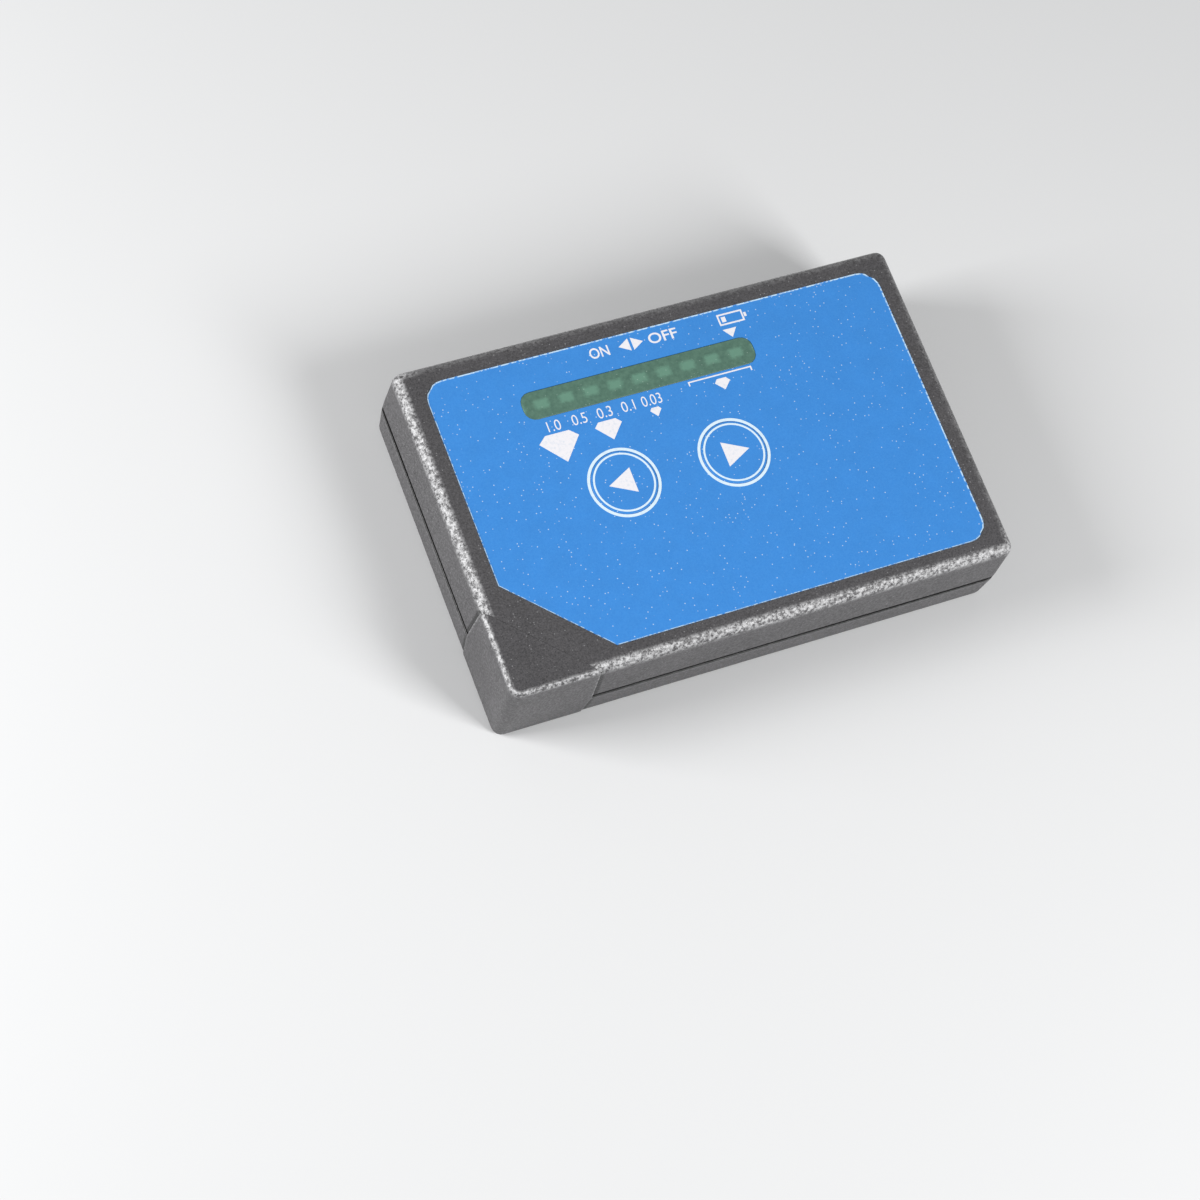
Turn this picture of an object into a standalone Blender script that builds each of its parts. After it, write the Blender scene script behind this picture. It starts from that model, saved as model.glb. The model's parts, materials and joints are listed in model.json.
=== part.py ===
"""Pocket thermal tester: a flat case with nine lamps, two push buttons and a capped corner probe.

Metres, +Z up. X runs along the long side, Y across it and Z up from the underside. The origin is at the
middle of the underside. The probe lies on the diagonal of the front left corner, under a cap that pulls
off along that diagonal. Each piece is one closed solid under its own name.
"""

import math

import bmesh
import bpy
from mathutils import Matrix, Vector

# Case walls and joint. The case's outer sizes follow from the cells, the lamps and the walls
PARTING_HEIGHT = 0.0084
PARTING_GAP = 0.0003
DRAFT = 0.00045
TOP_EDGE_RADIUS = 0.002
EDGE_RADIUS = 0.0011
CORNER_RADIUS = 0.0022
INNER_CORNER_RADIUS = 0.0002
WALL = 0.0018
LIP_THICKNESS = 0.0008
LIP_HEIGHT = 0.0015

# Clearances
FIT_GAP = 0.0003
SNUG_GAP = 0.00015
OVERRUN = 0.004
MERGE_DISTANCE = 0.000001

# Corner cap and the block that plugs into it
CAP_LEG = 0.017
CAP_PROUD = 0.0002
SEAM_GAP = 0.0002
SPIGOT_DEPTH = 0.003
BLOCK_DEPTH = 0.005
RIB_THICKNESS = 0.0012
RIB_HALF_WIDTH = 0.005

# Probe, on the diagonal of the capped corner
BARREL_RADIUS = 0.003
BARREL_BORE = 0.0023
NOSE_STUB = 0.0015
NOSE_RIM = 0.0005
NOSE_LENGTH = 0.0025
NOSE_TIP_RADIUS = 0.0016
TIP_ROOM = 0.0013
TIP_EXPOSED = 0.0014
TIP_RADIUS = 0.0006
TIP_POINT = 0.0007
TIP_FLAT_RADIUS = 0.0002
TIP_LENGTH = 0.0095
PROBE_TRAVEL = 0.0015
CARRIER_LENGTH = 0.0055
CARRIER_POCKET = 0.0045
CARRIER_BORE = 0.0015
GUIDE_RADIUS = 0.0009
GUIDE_LENGTH = 0.005
GUIDE_GAP = 0.0008
PROBE_WIRE_RADIUS = 0.0002
PROBE_COIL_RADIUS = 0.00155
PROBE_COIL_TURNS = 6
PLUG_STUB = 0.0027
PLUG_FLANGE = 0.001

# Lamps, and the display window over them
LAMP_COUNT = 9
LAMP_PITCH = 0.00457
LAMP_LENGTH = 0.0032
LAMP_WIDTH = 0.0024
LAMP_EDGE = 0.0003
HOLDER_WALL = 0.0009
HOLDER_WIDTH = 0.0052
LIGHT_SLOT_END = 0.0009
LIGHT_SLOT_SIDE = 0.00045
WINDOW_END = 0.00342
WINDOW_WIDTH = 0.005
WINDOW_RADIUS = 0.0019
WINDOW_LEFT_MARGIN = 0.0203
WINDOW_RIGHT_MARGIN = 0.0048

# Face label and the push buttons in it
LABEL_LEFT_MARGIN = 0.005
LABEL_RIGHT_MARGIN = 0.0043
LABEL_NEAR_MARGIN = 0.0043
LABEL_FAR_MARGIN = 0.0042
LABEL_SEAM_SETBACK = 0.0078
LABEL_RADIUS = 0.0036
LABEL_THICKNESS = 0.0005
LABEL_DROP = 0.00015
BUTTON_RADIUS = 0.00565
BUTTON_CLEARANCE = 0.00025
BUTTON_FLANGE_WIDTH = 0.00085
BUTTON_FLANGE_THICKNESS = 0.0007
BUTTON_EDGE = 0.0002
BUTTON_TRAVEL = 0.0005

# Cells, lying along Y at the right end, and their contacts
CELL_RADIUS = 0.00525
CELL_LENGTH = 0.0445
CELL_NUB = 0.001
CELL_NUB_RADIUS = 0.0019
CELL_EDGE = 0.0004
CELL_SPACING = 0.0009
CELL_LIFT = 0.0004
CELL_HEADROOM = 0.0055
CONTACT_THICKNESS = 0.0005
CONTACT_HEADROOM = 0.001
CONTACT_HALF_WIDTH = 0.0042
SPRING_ROOM = 0.0056
BATTERY_WIRE_RADIUS = 0.0003
BATTERY_COIL_RADIUS = 0.0026
BATTERY_COIL_TURNS = 4

# Walls and ribs round the cells
BAY_SIDE_WALL = 0.0008
BAY_SIDE_GAP = 0.00095
BAY_OUTER_GAP = 0.00185
BAY_END_WALL = 0.0012
BAY_END_ROOM = 0.00185
CELL_RIB_THICKNESS = 0.0012
CELL_RIB_Y = 0.01
CELL_RIB_END_GAP = 0.0013

# Battery cover, which slides out through the right end
COVER_SIDE_ROOM = 0.00205
COVER_TONGUE = 0.0019
COVER_TONGUE_LOW_Z = 0.0009
COVER_RAIL_THICKNESS = 0.0012
COVER_END_BAND = 0.00135
COVER_END_THICKNESS = 0.0018
COVER_GROOVES = 4
COVER_GROOVE_PITCH = 0.0016
COVER_GROOVE_WIDTH = 0.0007
COVER_GROOVE_LENGTH = 0.012
COVER_GROOVE_DEPTH = 0.0004
COVER_GROOVE_INSET = 0.01

# Case screws, driven from the underside
CORNER_SCREW_INSET = 0.006
SIDE_SCREW_INSET = 0.0056
BAY_SCREW_INSET = 0.003
SEAM_SCREW_INSET = 0.0085
LOWER_BOSS_RADIUS = 0.0031
UPPER_BOSS_RADIUS = 0.0023
CASE_SCREW_RADIUS = 0.001
CASE_SCREW_HEAD_RADIUS = 0.0022
CASE_SCREW_HEAD = 0.0014
CASE_SCREW_SINK = 0.0007
CASE_SCREW_LENGTH = 0.0075
CROSS_LENGTH = 0.0024
CROSS_WIDTH = 0.0005
CROSS_DEPTH = 0.0007

# Circuit board and the parts on it
PARTS_ROOM = 0.0063
BOARD_THICKNESS = 0.0016
BOARD_EDGE_GAP = 0.001
BOARD_CUT_GAP = 0.0042
BOARD_SCREW_INSET = 0.0043
POST_RADIUS = 0.0022
BOARD_SCREW_RADIUS = 0.0009
BOARD_SCREW_HEAD_RADIUS = 0.0019
BOARD_SCREW_HEAD = 0.0012
BOARD_SCREW_LENGTH = 0.0046
SWITCH_SIZE = 0.006
STEM_RISE = 0.0012
STEM_RADIUS = 0.0017
STEM_ROOT = 0.001
CHIP_WIDTH = 0.0064
CHIP_HEIGHT = 0.0034
CONTROL_CHIP_LENGTH = 0.019
AMPLIFIER_CHIP_LENGTH = 0.0096
CHIP_LEG_WIDTH = 0.0006
CHIP_LEG_REACH = 0.0007
CHIP_LEG_PITCH = 0.00254
CHIP_LEG_LEVEL = 0.0016
CAPACITOR_RADIUS = 0.0025
CAPACITOR_HEADROOM = 0.0012
BUZZER_RADIUS = 0.0055
BUZZER_HEADROOM = 0.0015
BUZZER_HOLE = 0.0009
TRIMMER_SIZE = 0.0066
TRIMMER_HEIGHT = 0.0036
TRIMMER_SCREW_RADIUS = 0.0021
TRIMMER_SCREW_DEPTH = 0.001
TRIMMER_SCREW_RISE = 0.0005
TRIMMER_SLOT_WIDTH = 0.0005

# Power switch in the far wall
SLIDER_OFFSET = 0.0004
SLIDER_TRAVEL = 0.003
SLIDER_LENGTH = 0.0064
SLIDER_HEIGHT = 0.0036
SLIDER_THICKNESS = 0.0008
SLIDER_SINK = 0.0003
SLIDER_GROOVES = 4
SLIDER_GROOVE_WIDTH = 0.0005
SLIDER_GROOVE_DEPTH = 0.0003
SHANK_HALF_LENGTH = 0.0019
SHANK_HALF_HEIGHT = 0.0009
POWER_SWITCH_LENGTH = 0.0088
POWER_SWITCH_DEPTH = 0.0041
POWER_SWITCH_HEIGHT = 0.004
POWER_SWITCH_GAP = 0.0017
LEVER_HALF_LENGTH = 0.00075
LEVER_HALF_HEIGHT = 0.0006
LEVER_REACH = 0.0011
LEVER_ROOT = 0.0007

# Leads, all inside the case
LEAD_RADIUS = 0.0004
PROBE_LEAD_SPACING = 0.0018
PROBE_LEAD_LANDING = 0.0036
LEAD_CORRIDOR = 0.0023
LEAD_GAP = 0.0005
LEAD_SPACING = 0.0015
LEAD_PLATE_INSET = 0.0015
LEAD_PLATE_DROP = 0.0006
LEAD_LANDING = 0.0038
LEAD_STEPS = 4

# How finely round shapes are drawn
EDGE_STEPS = 4
CORNER_STEPS = 4
LABEL_CORNER_STEPS = 6
SMALL_STEPS = 12
ROUND_STEPS = 20
BUTTON_STEPS = 32
COIL_STEPS = 10
SMOOTH_ANGLE = math.radians(35)

# Outer sizes of the case at the parting line, and its height
WINDOW_LENGTH = LAMP_PITCH * (LAMP_COUNT - 1) + 2 * WINDOW_END
FACE_LENGTH = WINDOW_LEFT_MARGIN + WINDOW_LENGTH + WINDOW_RIGHT_MARGIN
BAY_LENGTH = BAY_SIDE_GAP + 4 * CELL_RADIUS + CELL_SPACING + BAY_OUTER_GAP + WALL
CONTACT_FACE = (CELL_LENGTH + SPRING_ROOM) / 2 + FIT_GAP
BAY_HALF_WIDTH = CONTACT_FACE + CONTACT_THICKNESS + FIT_GAP
CASE_LENGTH = FACE_LENGTH + BAY_LENGTH
CASE_WIDTH = 2 * (BAY_HALF_WIDTH + BAY_END_WALL + BAY_END_ROOM + WALL)
CASE_HEIGHT = 2 * WALL + CELL_LIFT + 2 * CELL_RADIUS + CELL_HEADROOM
LEFT_X = -CASE_LENGTH / 2 + CAP_PROUD
RIGHT_X = CASE_LENGTH / 2
NEAR_Y = -CASE_WIDTH / 2 + CAP_PROUD
FAR_Y = CASE_WIDTH / 2

# Levels
LOWER_TOP = PARTING_HEIGHT - PARTING_GAP / 2
UPPER_BOTTOM = PARTING_HEIGHT + PARTING_GAP / 2
CEILING = CASE_HEIGHT - WALL
LABEL_TOP = CASE_HEIGHT - LABEL_DROP
LABEL_BOTTOM = LABEL_TOP - LABEL_THICKNESS
RECESS_FLOOR = LABEL_BOTTOM - SNUG_GAP
LAMP_TOP = LABEL_BOTTOM - FIT_GAP
FLANGE_TOP = CEILING - FIT_GAP
FLANGE_BOTTOM = FLANGE_TOP - BUTTON_FLANGE_THICKNESS
STEM_TOP = FLANGE_BOTTOM - FIT_GAP
SWITCH_TOP = STEM_TOP - STEM_RISE
BOARD_TOP = CEILING - PARTS_ROOM
BOARD_BOTTOM = BOARD_TOP - BOARD_THICKNESS
SEAT = BOARD_TOP + FIT_GAP
SLIDER_LEVEL = SEAT + POWER_SWITCH_HEIGHT / 2
CELL_LEVEL = WALL + CELL_LIFT + CELL_RADIUS
BAY_WALL_TOP = CELL_LEVEL + CELL_RADIUS - FIT_GAP
RAIL_BOTTOM = WALL + FIT_GAP
RAIL_TOP = RAIL_BOTTOM + COVER_RAIL_THICKNESS
COVER_END_TOP = LOWER_TOP - COVER_END_BAND
CONTACT_LOW_Z = RAIL_TOP + FIT_GAP
CONTACT_TOP_Z = CEILING - CONTACT_HEADROOM

# Places in the battery bay
BAY_LOW_X = RIGHT_X - BAY_LENGTH
FIRST_CELL_X = BAY_LOW_X + BAY_SIDE_GAP + CELL_RADIUS
SECOND_CELL_X = FIRST_CELL_X + 2 * CELL_RADIUS + CELL_SPACING
COVER_LOW_X = BAY_LOW_X + FIT_GAP
COVER_HALF_WIDTH = CONTACT_FACE - COVER_SIDE_ROOM

# Places of the case screws
SIDE_SCREW_Y = FAR_Y - SIDE_SCREW_INSET
BAY_SCREW_X = BAY_LOW_X - BAY_SCREW_INSET
CASE_SCREW_PLACES = {
    "case_screw_1": (LEFT_X + CORNER_SCREW_INSET, FAR_Y - CORNER_SCREW_INSET),
    "case_screw_2": (BAY_SCREW_X, SIDE_SCREW_Y),
    "case_screw_3": (BAY_SCREW_X, -SIDE_SCREW_Y),
    "case_screw_4": (CAP_LEG - CASE_LENGTH / 2 + SEAM_SCREW_INSET, -SIDE_SCREW_Y),
}

# Places of the window, the buttons and the power switch
BOSS_SIDE_Y = SIDE_SCREW_Y - UPPER_BOSS_RADIUS
WINDOW_X = (WINDOW_LENGTH - CASE_LENGTH) / 2 + WINDOW_LEFT_MARGIN
WINDOW_Y = BOSS_SIDE_Y - LEAD_CORRIDOR - HOLDER_WIDTH / 2
HOLDER_NEAR_Y = WINDOW_Y - HOLDER_WIDTH / 2
LABEL_NEAR_Y = LABEL_NEAR_MARGIN - CASE_WIDTH / 2
LEFT_BUTTON_SHARE = 0.2765
RIGHT_BUTTON_SHARE = 0.751
BUTTON_Y_SHARE = 0.606
BUTTON_Y = LABEL_NEAR_Y + BUTTON_Y_SHARE * (WINDOW_Y - LABEL_NEAR_Y)
SLIDER_X = WINDOW_X + SLIDER_OFFSET
POWER_SWITCH_FACE_Y = FAR_Y - WALL - POWER_SWITCH_GAP

# Probe levels along its axis, measured from the cap's seam towards the corner
PROBE_HEIGHT = CASE_HEIGHT / 2
TIP_END = CAP_LEG / math.sqrt(2) - WALL * math.sqrt(2) - TIP_ROOM
TIP_REAR = TIP_END - TIP_LENGTH
NOSE_ROOT = TIP_END - TIP_EXPOSED - NOSE_LENGTH
BARREL_FRONT = NOSE_ROOT - FIT_GAP
CARRIER_FRONT = NOSE_ROOT - NOSE_STUB - FIT_GAP
CARRIER_REAR = CARRIER_FRONT - CARRIER_LENGTH
GUIDE_REAR = CARRIER_REAR - GUIDE_LENGTH
PLUG_FRONT = GUIDE_REAR - PROBE_TRAVEL - GUIDE_GAP
BARREL_REAR = PLUG_FRONT - PLUG_STUB
FLANGE_FRONT = BARREL_REAR - FIT_GAP
PLUG_REAR = FLANGE_FRONT - PLUG_FLANGE
BOARD_CUT = PLUG_REAR - BOARD_CUT_GAP
SEAM_REACH = CAP_LEG / math.sqrt(2) + BLOCK_DEPTH + OVERRUN
PROBE_CENTRE = Vector(((CAP_LEG - CASE_LENGTH) / 2, (CAP_LEG - CASE_WIDTH) / 2, PROBE_HEIGHT))
PROBE_TURN = Matrix(((1, 0, -1), (-1, 0, -1), (0, 1, 0))).normalized()
PROBE_PLACE = Matrix.Translation(PROBE_CENTRE) @ PROBE_TURN.to_4x4()

# Board edges, and the places on it as shares of its length and of its width up to the lamps
BOARD_LOW_X = LEFT_X + CORNER_SCREW_INSET + LOWER_BOSS_RADIUS + FIT_GAP
BOARD_HIGH_X = BAY_SCREW_X - LOWER_BOSS_RADIUS - FIT_GAP
BOARD_LOW_Y = -SIDE_SCREW_Y + LOWER_BOSS_RADIUS + FIT_GAP
BOARD_HIGH_Y = FAR_Y - WALL - BOARD_EDGE_GAP
BOARD_SCREW_PLACES = {
    "board_screw_1": (BOARD_LOW_X + BOARD_SCREW_INSET, BOARD_HIGH_Y - BOARD_SCREW_INSET),
    "board_screw_2": (BOARD_HIGH_X - BOARD_SCREW_INSET, BOARD_LOW_Y + BOARD_SCREW_INSET),
}
BOARD_PLACE_SHARES = {
    "control_chip": (0.604, 0.226),
    "amplifier_chip": (0.627, 0.824),
    "capacitor": (0.935, 0.838),
    "buzzer": (0.166, 0.793),
    "trimmer": (0.899, 0.332),
    "plain_post": (0.57, 0.088),
}

# Routes of the leads, as shares of the way between their ends, aside to the screw boss, and down
PROBE_LEAD_SHARES = ((0, 0), (0.14, 0.12), (0.34, 0.8), (0.52, 1), (0.7, 1), (1, 1))
RED_LEAD_SHARES = (
    (0, 0, 0),
    (0.01, 0.33, 0),
    (0.095, 0.86, 0.025),
    (0.27, 1, 0.2),
    (0.49, 1, 0.575),
    (0.68, 0.68, 0.9),
    (0.85, 0.26, 1),
    (1, 0.19, 1),
)
BLACK_LEAD_SHARES = (
    (0, 0, 0),
    (0.005, 0.33, 0),
    (0.073, 0.84, -0.025),
    (0.206, 0.98, -0.05),
    (0.407, 1, -0.025),
    (0.57, 0.98, 0.175),
    (0.7, 0.955, 0.575),
    (0.8, 0.77, 0.9),
    (0.9, 0.56, 1),
    (1, 0.54, 1),
)

FINISHES = {
    "case_plastic": ((0.035, 0.034, 0.035), 0.55, 0.0),
    "label_film": ((0.06, 0.28, 0.72), 0.4, 0.0),
    "button_plastic": ((0.06, 0.28, 0.72), 0.4, 0.0),
    "trimmer_plastic": ((0.03, 0.12, 0.5), 0.3, 0.0),
    "window_film": ((0.05, 0.16, 0.09), 0.2, 0.0),
    "lamp_lens": ((0.16, 0.4, 0.24), 0.3, 0.0),
    "inner_plastic": ((0.5, 0.5, 0.48), 0.5, 0.0),
    "board": ((0.04, 0.2, 0.09), 0.45, 0.0),
    "component_black": ((0.02, 0.02, 0.02), 0.4, 0.0),
    "steel": ((0.62, 0.62, 0.64), 0.3, 1.0),
    "brass": ((0.72, 0.55, 0.28), 0.3, 1.0),
    "copper": ((0.8, 0.42, 0.28), 0.25, 1.0),
    "ceramic": ((0.85, 0.83, 0.78), 0.5, 0.0),
    "cell_jacket": ((0.1, 0.22, 0.14), 0.3, 0.6),
    "red_lead": ((0.6, 0.03, 0.03), 0.45, 0.0),
    "black_lead": ((0.02, 0.02, 0.02), 0.45, 0.0),
}


def clear_scene():
    """Remove every object of the scene that the script starts in."""
    for old in list(bpy.data.objects):
        bpy.data.objects.remove(old, do_unlink=True)


def make_finish(name):
    """Return the material of one finish, made when it is first asked for."""
    if name in bpy.data.materials:
        return bpy.data.materials[name]
    colour, roughness, metallic = FINISHES[name]
    material = bpy.data.materials.new(name)
    material.use_nodes = True
    shader = material.node_tree.nodes["Principled BSDF"]
    shader.inputs["Base Color"].default_value = (*colour, 1.0)
    shader.inputs["Roughness"].default_value = roughness
    shader.inputs["Metallic"].default_value = metallic
    return material


def add_object(name, shape):
    """Turn a bmesh into a named object in the scene."""
    bmesh.ops.recalc_face_normals(shape, faces=shape.faces)
    mesh = bpy.data.meshes.new(name)
    shape.to_mesh(mesh)
    shape.free()
    piece = bpy.data.objects.new(name, mesh)
    bpy.context.scene.collection.objects.link(piece)
    return piece


def finish(piece, finish_name):
    """Give a piece its material, and smooth shading with sharp edges kept."""
    piece.data.materials.clear()
    piece.data.materials.append(make_finish(finish_name))
    if piece.type == "MESH":
        piece.data.shade_smooth()
        piece.data.set_sharp_from_angle(angle=SMOOTH_ANGLE)
    return piece


def combine(piece, tool, operation):
    """Apply one exact Boolean of a tool to a piece, and remove the tool."""
    modifier = piece.modifiers.new("combine", "BOOLEAN")
    modifier.operation = operation
    modifier.solver = "EXACT"
    modifier.object = tool
    bpy.context.view_layer.update()
    result = bpy.data.meshes.new_from_object(piece.evaluated_get(bpy.context.evaluated_depsgraph_get()))
    piece.modifiers.clear()
    piece.data = result
    bpy.data.objects.remove(tool, do_unlink=True)
    return piece


def cut(piece, *tools):
    """Cut each tool's volume out of a piece."""
    for tool in tools:
        combine(piece, tool, "DIFFERENCE")
    return piece


def fuse(piece, *tools):
    """Join each tool's volume to a piece."""
    for tool in tools:
        combine(piece, tool, "UNION")
    return piece


def keep_inside(piece, tool):
    """Keep only the part of a piece that lies inside a tool."""
    return combine(piece, tool, "INTERSECT")


def loft(name, rings):
    """Make a closed solid through rings of equally many points, closed flat at both ends."""
    shape = bmesh.new()
    loops = [[shape.verts.new(point) for point in ring] for ring in rings]
    for below, above in zip(loops, loops[1:]):
        for index in range(len(below)):
            after = (index + 1) % len(below)
            shape.faces.new((below[index], below[after], above[after], above[index]))
    shape.faces.new(list(reversed(loops[0])))
    shape.faces.new(loops[-1])
    return add_object(name, shape)


def slab(name, outline, low_z, high_z):
    """Make a flat plate with an outline of (x, y) points between two heights."""
    return loft(name, [[(x, y, z) for x, y in outline] for z in (low_z, high_z)])


def block(name, low, high):
    """Make a box between its lowest and highest corners."""
    outline = ((low[0], low[1]), (high[0], low[1]), (high[0], high[1]), (low[0], high[1]))
    return slab(name, outline, low[2], high[2])


def turned(name, profile, steps, closed=False):
    """Turn a profile of (radius, height) points about Z. A closed profile leaves a bore."""
    shape = bmesh.new()
    points = [shape.verts.new((radius, 0, height)) for radius, height in profile]
    edges = [shape.edges.new(pair) for pair in zip(points, points[1:])]
    if closed:
        edges.append(shape.edges.new((points[-1], points[0])))
    bmesh.ops.spin(
        shape,
        geom=points + edges,
        axis=(0, 0, 1),
        cent=(0, 0, 0),
        angle=math.tau,
        steps=steps,
        use_merge=True,
    )
    bmesh.ops.remove_doubles(shape, verts=shape.verts, dist=MERGE_DISTANCE)
    return add_object(name, shape)


def cylinder(name, place, radius, low_z, high_z, steps):
    """Make an upright cylinder at an (x, y) place."""
    piece = turned(name, ((0, low_z), (radius, low_z), (radius, high_z), (0, high_z)), steps)
    return moved(piece, Matrix.Translation((place[0], place[1], 0)))


def moved(piece, matrix):
    """Move a piece's mesh by a matrix, and leave its object where it is."""
    piece.data.transform(matrix)
    return piece


def swept(name, points, radius, resolution):
    """Make a round wire along points, closed at both ends."""
    curve = bpy.data.curves.new(name, "CURVE")
    curve.dimensions = "3D"
    curve.bevel_depth = radius
    curve.bevel_resolution = resolution
    curve.use_fill_caps = True
    spline = curve.splines.new("POLY")
    spline.points.add(len(points) - 1)
    for target, point in zip(spline.points, points):
        target.co = (*point, 1.0)
    piece = bpy.data.objects.new(name, curve)
    bpy.context.scene.collection.objects.link(piece)
    return piece


def coil_points(radius, length, turns):
    """Points of a helix that rises along +Z from zero to a length."""
    count = turns * COIL_STEPS
    return [
        Vector((
            radius * math.cos(math.tau * index / COIL_STEPS),
            radius * math.sin(math.tau * index / COIL_STEPS),
            length * index / count,
        ))
        for index in range(count + 1)
    ]


def smooth_route(route):
    """Points of a smooth curve through a route's own points."""
    knots = [Vector(point) for point in route]
    knots = [2 * knots[0] - knots[1]] + knots + [2 * knots[-1] - knots[-2]]
    points = []
    for before, start, end, after in zip(knots, knots[1:], knots[2:], knots[3:]):
        for step in range(LEAD_STEPS):
            share = step / LEAD_STEPS
            points.append(
                (
                    2 * start
                    + (end - before) * share
                    + (2 * before - 5 * start + 4 * end - after) * share**2
                    + (3 * start - before - 3 * end + after) * share**3
                )
                / 2
            )
    points.append(knots[-2])
    return points


def rounded_outline(low_x, high_x, low_y, high_y, radius, steps):
    """Outline of a rectangle with round corners, anticlockwise from the near right corner."""
    corners = (
        (high_x - radius, low_y + radius, -0.25),
        (high_x - radius, high_y - radius, 0),
        (low_x + radius, high_y - radius, 0.25),
        (low_x + radius, low_y + radius, 0.5),
    )
    outline = []
    for x, y, start_share in corners:
        for step in range(steps + 1):
            angle = math.tau * (start_share + step / steps / 4)
            outline.append((x + radius * math.cos(angle), y + radius * math.sin(angle)))
    return outline


def side_inset(height):
    """How far the drafted side lies inside the parting line at a height."""
    if height < PARTING_HEIGHT:
        return DRAFT * (PARTING_HEIGHT - height) / PARTING_HEIGHT
    return DRAFT * (height - PARTING_HEIGHT) / (CASE_HEIGHT - PARTING_HEIGHT)


def case_levels(low_z, high_z, top_radius=TOP_EDGE_RADIUS):
    """Levels and insets of the case's outer side, with its edges rounded at the underside and the top."""
    arc = [math.pi / 2 * step / EDGE_STEPS for step in range(EDGE_STEPS + 1)]
    shares = [(1 - math.cos(angle), 1 - math.sin(angle)) for angle in arc]
    levels = []
    if low_z == 0:
        base = [(EDGE_RADIUS * rise, EDGE_RADIUS * inward) for rise, inward in shares]
        levels += [(rise, side_inset(rise) + inward) for rise, inward in base]
    else:
        levels.append((low_z, side_inset(low_z)))
    if low_z < PARTING_HEIGHT < high_z:
        levels.append((PARTING_HEIGHT, 0))
    if high_z == CASE_HEIGHT:
        top = [(high_z - top_radius * rise, top_radius * inward) for rise, inward in reversed(shares)]
        levels += [(height, side_inset(height) + inward) for height, inward in top]
    else:
        levels.append((high_z, side_inset(high_z)))
    return levels


def case_blank(name, levels, inset=0, proud=0):
    """Solid of the case's outer form, set in from it or standing proud at the two cap sides."""
    rings = []
    for height, level_inset in levels:
        total = inset + level_inset
        radius = max(CORNER_RADIUS - total, INNER_CORNER_RADIUS)
        low_x = LEFT_X - proud + total
        low_y = NEAR_Y - proud + total
        outline = rounded_outline(low_x, RIGHT_X - total, low_y, FAR_Y - total, radius, CORNER_STEPS)
        rings.append([(x, y, height) for x, y in outline])
    return loft(name, rings)


def inner_blank(name, inset, low_z, high_z):
    """Solid of the room inside the case's walls between two heights."""
    heights = sorted({low_z, high_z, min(max(PARTING_HEIGHT, low_z), high_z)})
    return case_blank(name, [(height, max(side_inset(height), 0)) for height in heights], inset)


def diagonal_block(name, rear, front, half_width, low_z, high_z):
    """Box square to the probe's axis, between two depths from the cap's seam."""
    low = (-half_width, low_z - PROBE_HEIGHT, rear)
    high = (half_width, high_z - PROBE_HEIGHT, front)
    return moved(block(name, low, high), PROBE_PLACE)


def beyond_seam(name, rear):
    """Box that holds everything from a depth at the cap's seam out past the corner."""
    return diagonal_block(name, rear, CAP_LEG, SEAM_REACH, -OVERRUN, CASE_HEIGHT + OVERRUN)


def label_outline(grow):
    """Outline of the face label, with its cut corner, grown all round by a clearance."""
    low_x = LABEL_LEFT_MARGIN - CASE_LENGTH / 2 - grow
    high_x = CASE_LENGTH / 2 - LABEL_RIGHT_MARGIN + grow
    low_y = LABEL_NEAR_Y - grow
    high_y = CASE_WIDTH / 2 - LABEL_FAR_MARGIN + grow
    leg = CAP_LEG + LABEL_SEAM_SETBACK - LABEL_LEFT_MARGIN - LABEL_NEAR_MARGIN + grow * (2 - math.sqrt(2))
    rounded = rounded_outline(low_x, high_x, low_y, high_y, LABEL_RADIUS + grow, LABEL_CORNER_STEPS)
    return rounded[: -LABEL_CORNER_STEPS - 1] + [(low_x, low_y + leg), (low_x + leg, low_y)]


def window_outline(grow):
    """Outline of the display window, grown all round by a clearance."""
    reach_x = WINDOW_LENGTH / 2 + grow
    reach_y = WINDOW_WIDTH / 2 + grow
    return rounded_outline(
        WINDOW_X - reach_x,
        WINDOW_X + reach_x,
        WINDOW_Y - reach_y,
        WINDOW_Y + reach_y,
        WINDOW_RADIUS + grow,
        CORNER_STEPS,
    )


def lamp_places():
    """Middle x of each lamp, from the left."""
    first = WINDOW_X - LAMP_PITCH * (LAMP_COUNT - 1) / 2
    return [first + LAMP_PITCH * index for index in range(LAMP_COUNT)]


def button_places():
    """Side name and (x, y) middle of each button."""
    low_x = WINDOW_X - WINDOW_LENGTH / 2
    sides = (("left", LEFT_BUTTON_SHARE), ("right", RIGHT_BUTTON_SHARE))
    return {side: (low_x + share * WINDOW_LENGTH, BUTTON_Y) for side, share in sides}


def on_board(name):
    """The (x, y) place on the circuit board of one of its parts."""
    along, across = BOARD_PLACE_SHARES[name]
    x = BOARD_LOW_X + along * (BOARD_HIGH_X - BOARD_LOW_X)
    return x, BOARD_LOW_Y + across * (HOLDER_NEAR_Y - BOARD_LOW_Y)


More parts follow.
